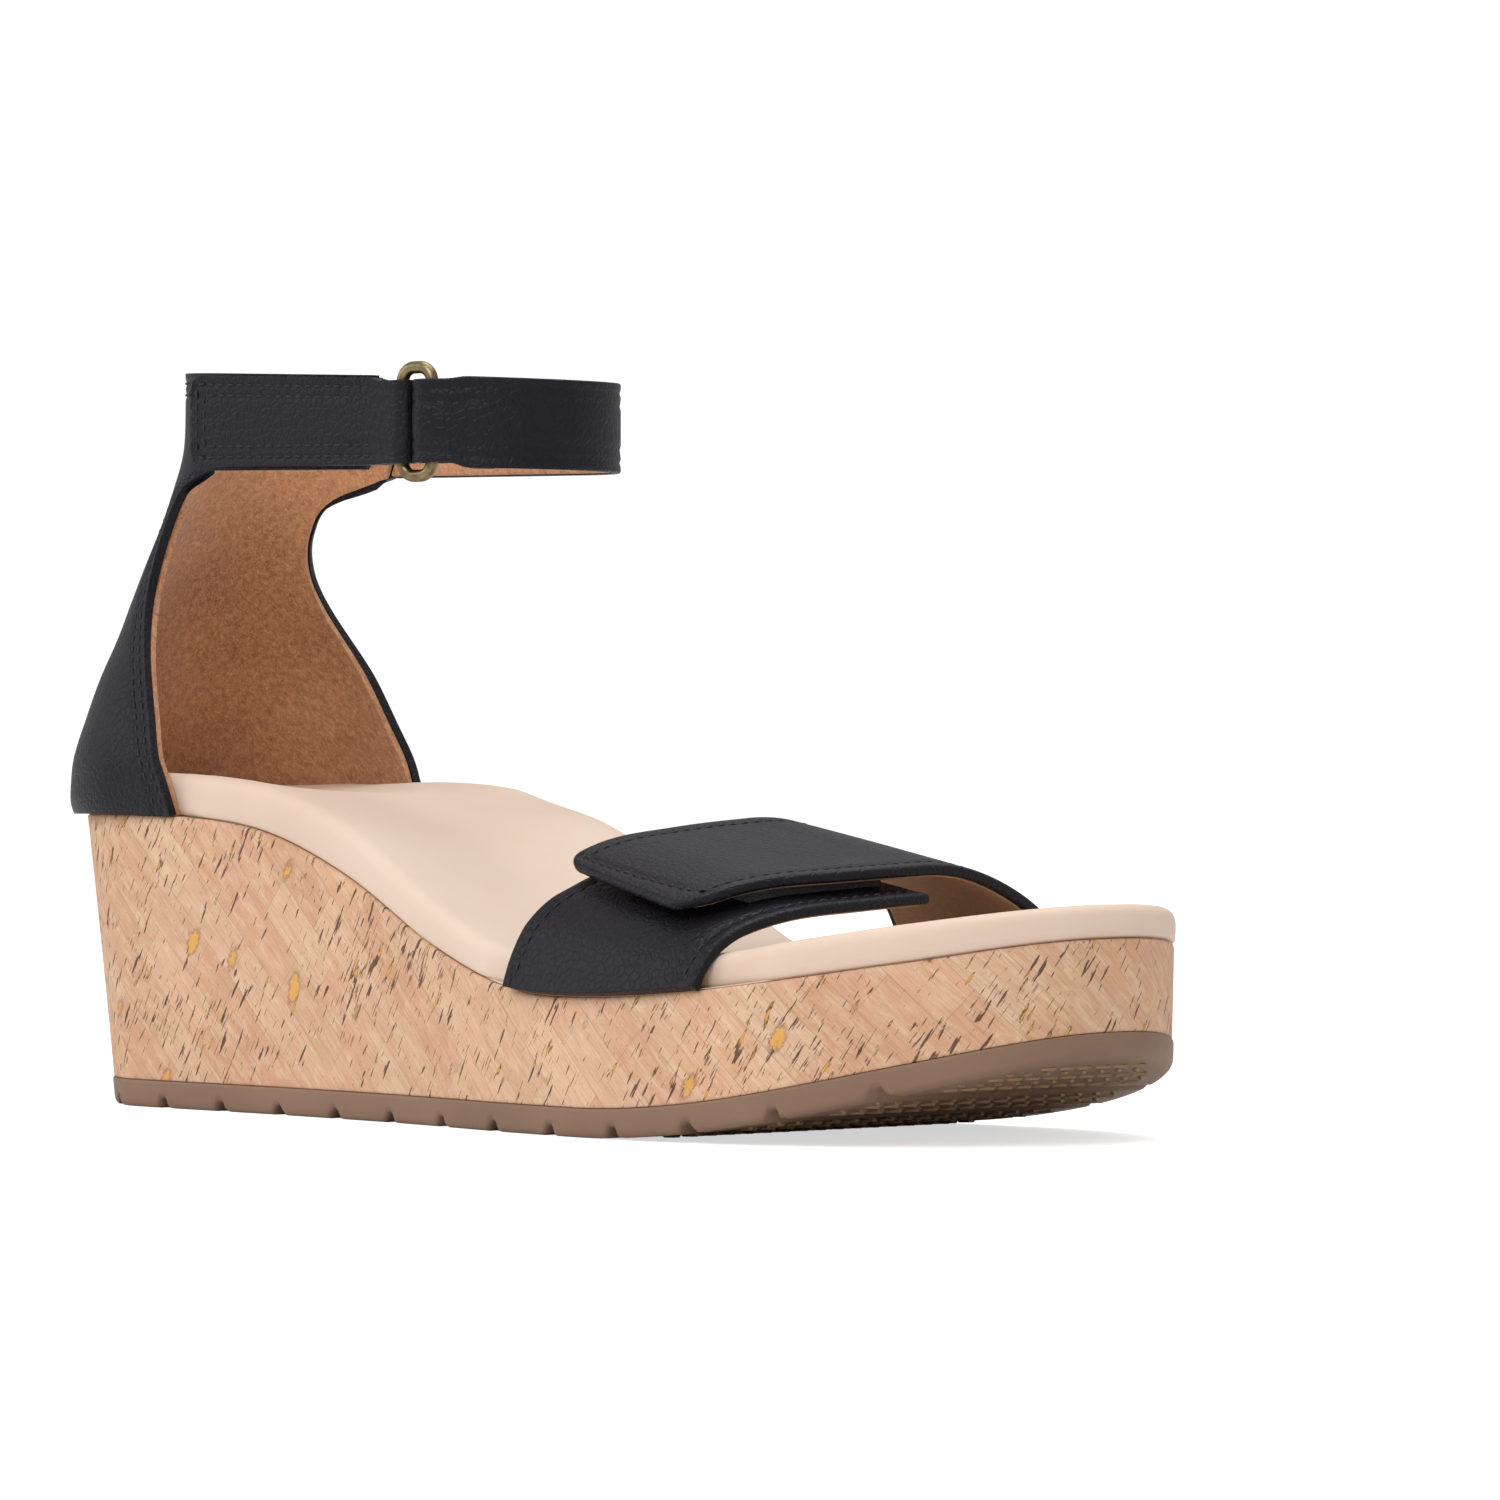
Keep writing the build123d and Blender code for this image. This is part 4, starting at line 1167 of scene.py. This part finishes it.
def build_ring():
    """Metal ring: a round wire bent into a tall rounded rectangle."""
    end = RING_HEIGHT / 2 - RING_WIRE
    path = []
    corners = [(RING_HALF, end, 0), (-RING_HALF, end, 90), (-RING_HALF, -end, 180), (RING_HALF, -end, 270)]
    for cx, cz, start in corners:
        ox = cx - math.copysign(RING_CORNER, cx)
        oz = cz - math.copysign(RING_CORNER, cz)
        for i in range(13):
            a = math.radians(start + 90 * i / 12)
            path.append((ox + RING_CORNER * math.cos(a), oz + RING_CORNER * math.sin(a)))
    around = 20
    rows = []
    for i, (u, w) in enumerate(path):
        pu, pw = path[i - 1]
        nu, nw = path[(i + 1) % len(path)]
        t = Vector((nu - pu, nw - pw)).normalized()
        side = Vector((t.y, -t.x))
        ring = []
        for j in range(around + 1):
            a = 2 * math.pi * j / around
            du = side.x * RING_WIRE * math.cos(a)
            dw = side.y * RING_WIRE * math.cos(a)
            out = RING_WIRE * math.sin(a)
            p = RING_CENTRE + RING_ALONG * (u + du) + RING_OUT * out
            ring.append((p.x, p.y, RING_Z + w + dw))
        rows.append(ring)
    obj = grid_object("strap_ring_brass", rows, BRASS, None, wrap=True)
    outward_faces(obj, merge=0.001 * MM)
    worn(obj, "brass", "strap_ring", body="ring")


STRAP_LOOP, STRAP_S0, STRAP_S1 = build_ankle_strap()
TAB_LOOP, TAB_S0, TAB_S1 = build_tab()
build_ring()


# ---------------------------------------------------------------- vamp
VAMP_SEAM = 3.2  # from the strap's edge to its row of stitches
VAMP_RUN = 75.0  # length of a vamp strap from its free end to its foot


class VampStrap:
    """One strap over the arch: t runs along it from its free end, u across it from its rear edge."""

    def __init__(self, rear, front, low, high, round_end=0.0, skew=0.0):
        self.rear, self.front, self.low, self.high = rear, front, low, high
        self.round_end, self.skew = round_end, skew

    def across(self, t, u, trim=0.0):
        """Station x, share of the way over the foot, and distances to the three stitched edges."""
        done = (t - self.low) / (self.high - self.low)
        share = (1 - math.cos(math.pi * clamp(t))) / 2
        share = clamp(share + self.skew * (0.5 - u) * (1 - done) ** 2)
        x_rear, x_front = smooth(self.rear, share) + trim, smooth(self.front, share) - trim
        along = abs(done) * VAMP_RUN
        radius = max(self.round_end - trim, 0.0)
        inside = radius - clamp(along - trim, 0, radius)
        cut = radius - math.sqrt(max(radius ** 2 - inside ** 2, 0))
        x = x_rear + cut + (x_front - x_rear - 2 * cut) * u
        return x, share, (x - x_rear + trim, x_front - x + trim, along)

    def layer(self, height, inset, rows, cols, stitched):
        """One surface of the strap: a grid of points at a height over the foot's line, drawn in by inset."""
        grid = []
        held_back = inset / VAMP_RUN
        turn = max(self.round_end - inset, 0.0) / VAMP_RUN
        corner = [turn * (1 - math.cos(math.pi / 2 * i / 9)) for i in range(9)] if turn else []
        steps = [held_back + c for c in corner]
        first = held_back + turn
        steps += [first + (1 - first) * i / rows for i in range(rows + 1)]
        for done in steps:
            t = self.low + (self.high - self.low) * done
            line = []
            for j in range(cols + 1):
                u = j / cols
                u = u - 0.05 * math.sin(2 * math.pi * u)
                x, share, edges = self.across(t, u, inset)
                lift = 0.0
                if stitched:
                    sewn = edges if self.round_end else edges[:2]
                    lift = sum(puff(edge, (VAMP_SEAM,), 0.6, 0.3) for edge in sewn)
                line.append(vamp_point(x, share, height(share) + lift))
            grid.append(line)
        return grid

    def sheet(self, name, rise, thickness, material, rows=120, cols=46, stitched=True, trim=0.0):
        """Closed sheet of the given thickness with rounded edges."""
        base = rise if callable(rise) else lambda share: rise
        edge = min(0.65, thickness * 0.4)
        profile = [(edge, 0.0), (edge * 0.3, edge * 0.3), (0.0, edge), (0.0, thickness - edge),
                   (edge * 0.3, thickness - edge * 0.3), (edge, thickness)]
        layers = []
        for k, (inset, up) in enumerate(profile):
            puffed = stitched and k == len(profile) - 1
            layers.append(self.layer(lambda share: base(share) + up, trim + inset, rows, cols, puffed))
        rims = []
        for grid in layers:
            out, back = [line[-1] for line in grid[1:]], [line[0] for line in grid[-2::-1]]
            rims.append(grid[0] + out + grid[-1][-2::-1] + back)
        obj = grid_object(name, layers[-1], material)
        under = grid_object(name + "_under", layers[0], material)
        wall = grid_object(name + "_edge", rims, material)
        join(obj, [under, wall])
        return outward_faces(obj, merge=0.002 * MM)

    def seams(self, stitches, rise, foot):
        """Stitches along both edges, and round the free end where there is one."""
        end = VAMP_SEAM / VAMP_RUN * (self.high - self.low) if self.round_end else 0.0
        path = []
        for edge in (0.085, 0.915):
            steps = [self.low + end + (foot - self.low - end) * i / 90 for i in range(91)]
            line = []
            for t in steps:
                share = self.across(t, edge)[1]
                rear_x, front_x = smooth(self.rear, share) + VAMP_SEAM, smooth(self.front, share) - VAMP_SEAM
                line.append((rear_x if edge < 0.5 else front_x, share))
            path.append(line)
        if self.round_end:
            across = [self.across(self.low + end, 0.13 + 0.74 * i / 30)[:2] for i in range(31)]
            path = [path[0][:0:-1] + across + path[1][1:]]
        for line in path:
            heights = [(rise(share) if callable(rise) else rise) for _, share in line]
            points = [vamp_point(x, share, h - 0.22) for (x, share), h in zip(line, heights)]
            above = [vamp_point(x, share, h + 1) for (x, share), h in zip(line, heights)]
            normals = [np.array(b) - np.array(a) for a, b in zip(points, above)]
            stitches.along(points, normals)


def share_at(y, x=180.0):
    low, high = edge_y(x, -1), edge_y(x, 1)
    return (y - low) / (high - low)


def t_of(share):
    return math.acos(1 - 2 * clamp(share)) / math.pi


def build_vamp():
    under = VampStrap(UNDER_REAR, UNDER_FRONT, t_of(share_at(VAMP_TIP)), 0.04)
    leather = under.sheet("vamp_lateral_leather", 0.45, 1.95, LEATHER)
    worn(leather, "black_leather", "vamp_lateral_outer")
    lining = under.sheet("vamp_lateral_taupe", 0.0, 0.42, EDGE_LEATHER, stitched=False, trim=1.3)
    worn(lining, "taupe_lining", "vamp_lateral_lining")
    under.seams(ROOT_STITCHES, 2.4, 0.07)

    hinge = {"body": "vamp_flap", "start": place((183.5, 22.0, 52.0)), "end": place((183.5, 3.0, 52.0))}
    over = VampStrap(OVER_REAR, OVER_FRONT, t_of(share_at(-33.2)), 0.96, 5.0, 0.055)
    leather = over.sheet("vamp_flap_leather", lambda share: over_strap(share) + 0.45, 2.0, LEATHER, rows=160)
    bent(leather, "black_leather", "vamp_flap_outer", "vamp_medial_outer", **hinge)
    lining = over.sheet("vamp_flap_taupe", over_strap, 0.42, EDGE_LEATHER, rows=160, stitched=False, trim=1.5)
    bent(lining, "taupe_lining", "vamp_flap_lining", "vamp_medial_lining", **hinge)
    thread = Stitches()
    over.seams(thread, lambda share: over_strap(share) + 2.45, 0.93)
    bent(thread.build("vamp_flap_stitches", THREAD), "black_leather", **hinge)


ROOT_STITCHES = Stitches()


def stitch_quarter(stitches):
    """Double rows down both front edges of the quarter and round the band."""
    for row in THREAD_ROWS:
        for table, side in ((LATERAL_EDGE, -1), (MEDIAL_EDGE, 1)):
            points, normals = [], []
            for i in range(141):
                z = 56.6 + (BAND_JOIN - 0.7 - 56.6) * i / 140
                loop = QMAP.loop(z)
                s = loop.arc_of(edge_x(table, z), side) - side * row
                points.append(QMAP.point(z, s, 0.2))
                normals.append(QMAP.normal(z, s))
            stitches.along(points, normals)
        loop = QMAP.loop(130)
        for low_edge in (True, False):
            points, normals = [], []
            start = loop.arc_of(BAND_END - row, -1)
            end = loop.arc_of(LATERAL_EDGE[-1][0] + 2, -1) if low_edge else loop.arc_of(STRAP_START - 1, 1)
            for i in range(181):
                s = start + (end - start) * i / 180
                x = loop.at(s)[0]
                z = band_low(x) + row if low_edge else band_high(x) - row
                points.append(QMAP.point(z, s, 0.2))
                normals.append(QMAP.normal(z, s))
            stitches.along(points, normals)


def strap_point(loop, s, z, lift):
    x, y, nx, ny = loop.at(s)
    return (x + nx * lift, y + ny * lift, z), (nx, ny, 0)


def seam(stitches, loop, places, lift):
    points, normals = zip(*[strap_point(loop, s, z, lift) for s, z in places])
    stitches.along(points, normals)


def stitch_strap():
    """Double rows along both edges of the ankle strap, and across it in front of the ring's fold."""
    thread = Stitches()
    loop, start, bar_s = STRAP_LOOP, STRAP_S0, STRAP_S1
    for row in THREAD_ROWS:
        end = bar_s - 9.0 - row * 0.9
        steps = [start + 1 + (end - start - 1) * i / 160 for i in range(161)]
        for height, side in ((band_low, 1), (band_high, -1)):
            seam(thread, loop, [(s, height(loop.at(s)[0]) + side * row) for s in steps], HALF - 0.2)
        low, high = band_low(loop.at(end)[0]) + row, band_high(loop.at(end)[0]) - row
        seam(thread, loop, [(end, low + (high - low) * i / 20) for i in range(21)], HALF - 0.2)
    bent(thread.build("ankle_strap_stitches", THREAD), "black_leather", **STRAP_BEND)


def stitch_tab():
    """Two rows of stitches round the tab, up to the ring."""
    thread = Stitches()
    loop, tip, bar_s = TAB_LOOP, TAB_S0, TAB_S1
    for row in TAB_ROWS:
        end = bar_s + 4.5
        start = tip - row - 1.0
        steps = [start + (end - start) * i / 120 for i in range(121)]
        low = [(s, tab_low(loop.at(s)[0]) + row) for s in steps]
        high = [(s, tab_high(loop.at(s)[0]) - row) for s in steps]
        corner = tip - row
        across = [(corner, low[0][1] + 1.0 + (high[0][1] - low[0][1] - 2.0) * i / 20) for i in range(21)]
        seam(thread, loop, low[::-1] + across + high, HALF - 0.2)
    worn(thread.build("closure_tab_stitches", THREAD), "black_leather", body="closure_tab")


build_vamp()
stitch_quarter(ROOT_STITCHES)
stitch_strap()
stitch_tab()
worn(ROOT_STITCHES.build("upper_stitches", THREAD), "black_leather")

# ---------------------------------------------------------------- carried-over inner pieces
NODE_MATERIALS = {
    "wedge_core": CORE_FOAM, "shank": STEEL, "insole_board": BOARD, "footbed_foam": BED_FOAM,
    "heel_counter": BOARD,
    "band_loop_patch": TAPE_CLOTH, "tab_hook_patch": TAPE_CLOTH, "vamp_loop_patch": TAPE_CLOTH,
    "vamp_hook_patch": TAPE_CLOTH,
}
for node, material in NODE_MATERIALS.items():
    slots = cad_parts[node].data.materials
    if len(slots):
        slots[0] = material
    else:
        slots.append(material)


# ---------------------------------------------------------------- studio
def white_where_seen(graph, strength):
    """Adds light that only the camera sees, so that the ground reads as white paper with a soft shadow."""
    ray = graph.node("LightPath", 0)
    graph.plug(graph.shader.inputs["Emission Color"], (1, 1, 1, 1))
    graph.plug(graph.shader.inputs["Emission Strength"], graph.math("MULTIPLY", ray, strength))


def build_stage():
    half = 9.0
    ground_mesh = bpy.data.meshes.new("floor")
    corners = [(-half, -half, 0), (half, -half, 0), (half, half, 0), (-half, half, 0)]
    ground_mesh.from_pydata(corners, [], [(0, 1, 2, 3)])
    floor = bpy.data.objects.new("floor", ground_mesh)
    bpy.context.scene.collection.objects.link(floor)
    g = Graph("floor_white")
    floor.data.materials.append(g.finish((0.86, 0.86, 0.86), 0.7))
    white_where_seen(g, 0.62)
    world = bpy.data.worlds.new("studio")
    bpy.context.scene.world = world
    world.use_nodes = True
    tree = world.node_tree
    surface = tree.nodes["Background"]
    surface.inputs[0].default_value = (1, 1, 1, 1)
    ray = tree.nodes.new("ShaderNodeLightPath")
    strength = tree.nodes.new("ShaderNodeMapRange")
    strength.inputs[3].default_value = 0.5
    strength.inputs[4].default_value = 1.05
    tree.links.new(ray.outputs[0], strength.inputs[0])
    tree.links.new(strength.outputs[0], surface.inputs[1])
    bpy.context.scene.view_settings.view_transform = "Standard"


def area_light(name, place, target, size, power):
    light = bpy.data.lights.new(name, "AREA")
    light.shape = "RECTANGLE"
    light.size, light.size_y = size
    light.energy = power
    obj = bpy.data.objects.new(name, light)
    obj.location = place
    obj.rotation_mode = "QUATERNION"
    obj.rotation_quaternion = (Vector(target) - Vector(place)).to_track_quat("-Z", "Y")
    bpy.context.scene.collection.objects.link(obj)


def build_camera():
    azimuth, elevation, distance = math.radians(46.5), math.radians(-0.13), 1228.8
    target = Vector((169.9 - HEEL_SEAT, 0, 67.3))
    back = Vector((math.sin(azimuth) * math.cos(elevation), -math.cos(azimuth) * math.cos(elevation),
                   math.sin(elevation)))
    camera = bpy.data.cameras.new("camera")
    camera.lens = 165.9
    camera.sensor_width = 36
    camera.clip_start, camera.clip_end = 0.05, 20
    obj = bpy.data.objects.new("camera", camera)
    obj.location = (target + back * distance) * MM
    obj.rotation_mode = "QUATERNION"
    obj.rotation_quaternion = (-back).to_track_quat("-Z", "Y")
    bpy.context.scene.collection.objects.link(obj)
    bpy.context.scene.camera = obj


build_stage()
area_light("key", (0.75, -1.35, 1.25), (0.1, 0, 0.05), (1.0, 0.8), 13)
area_light("fill", (-0.95, -1.1, 0.8), (0.1, 0, 0.05), (1.2, 1.0), 6)
area_light("top", (0.1, 0.35, 1.7), (0.1, 0, 0.05), (1.4, 1.4), 15)
build_camera()
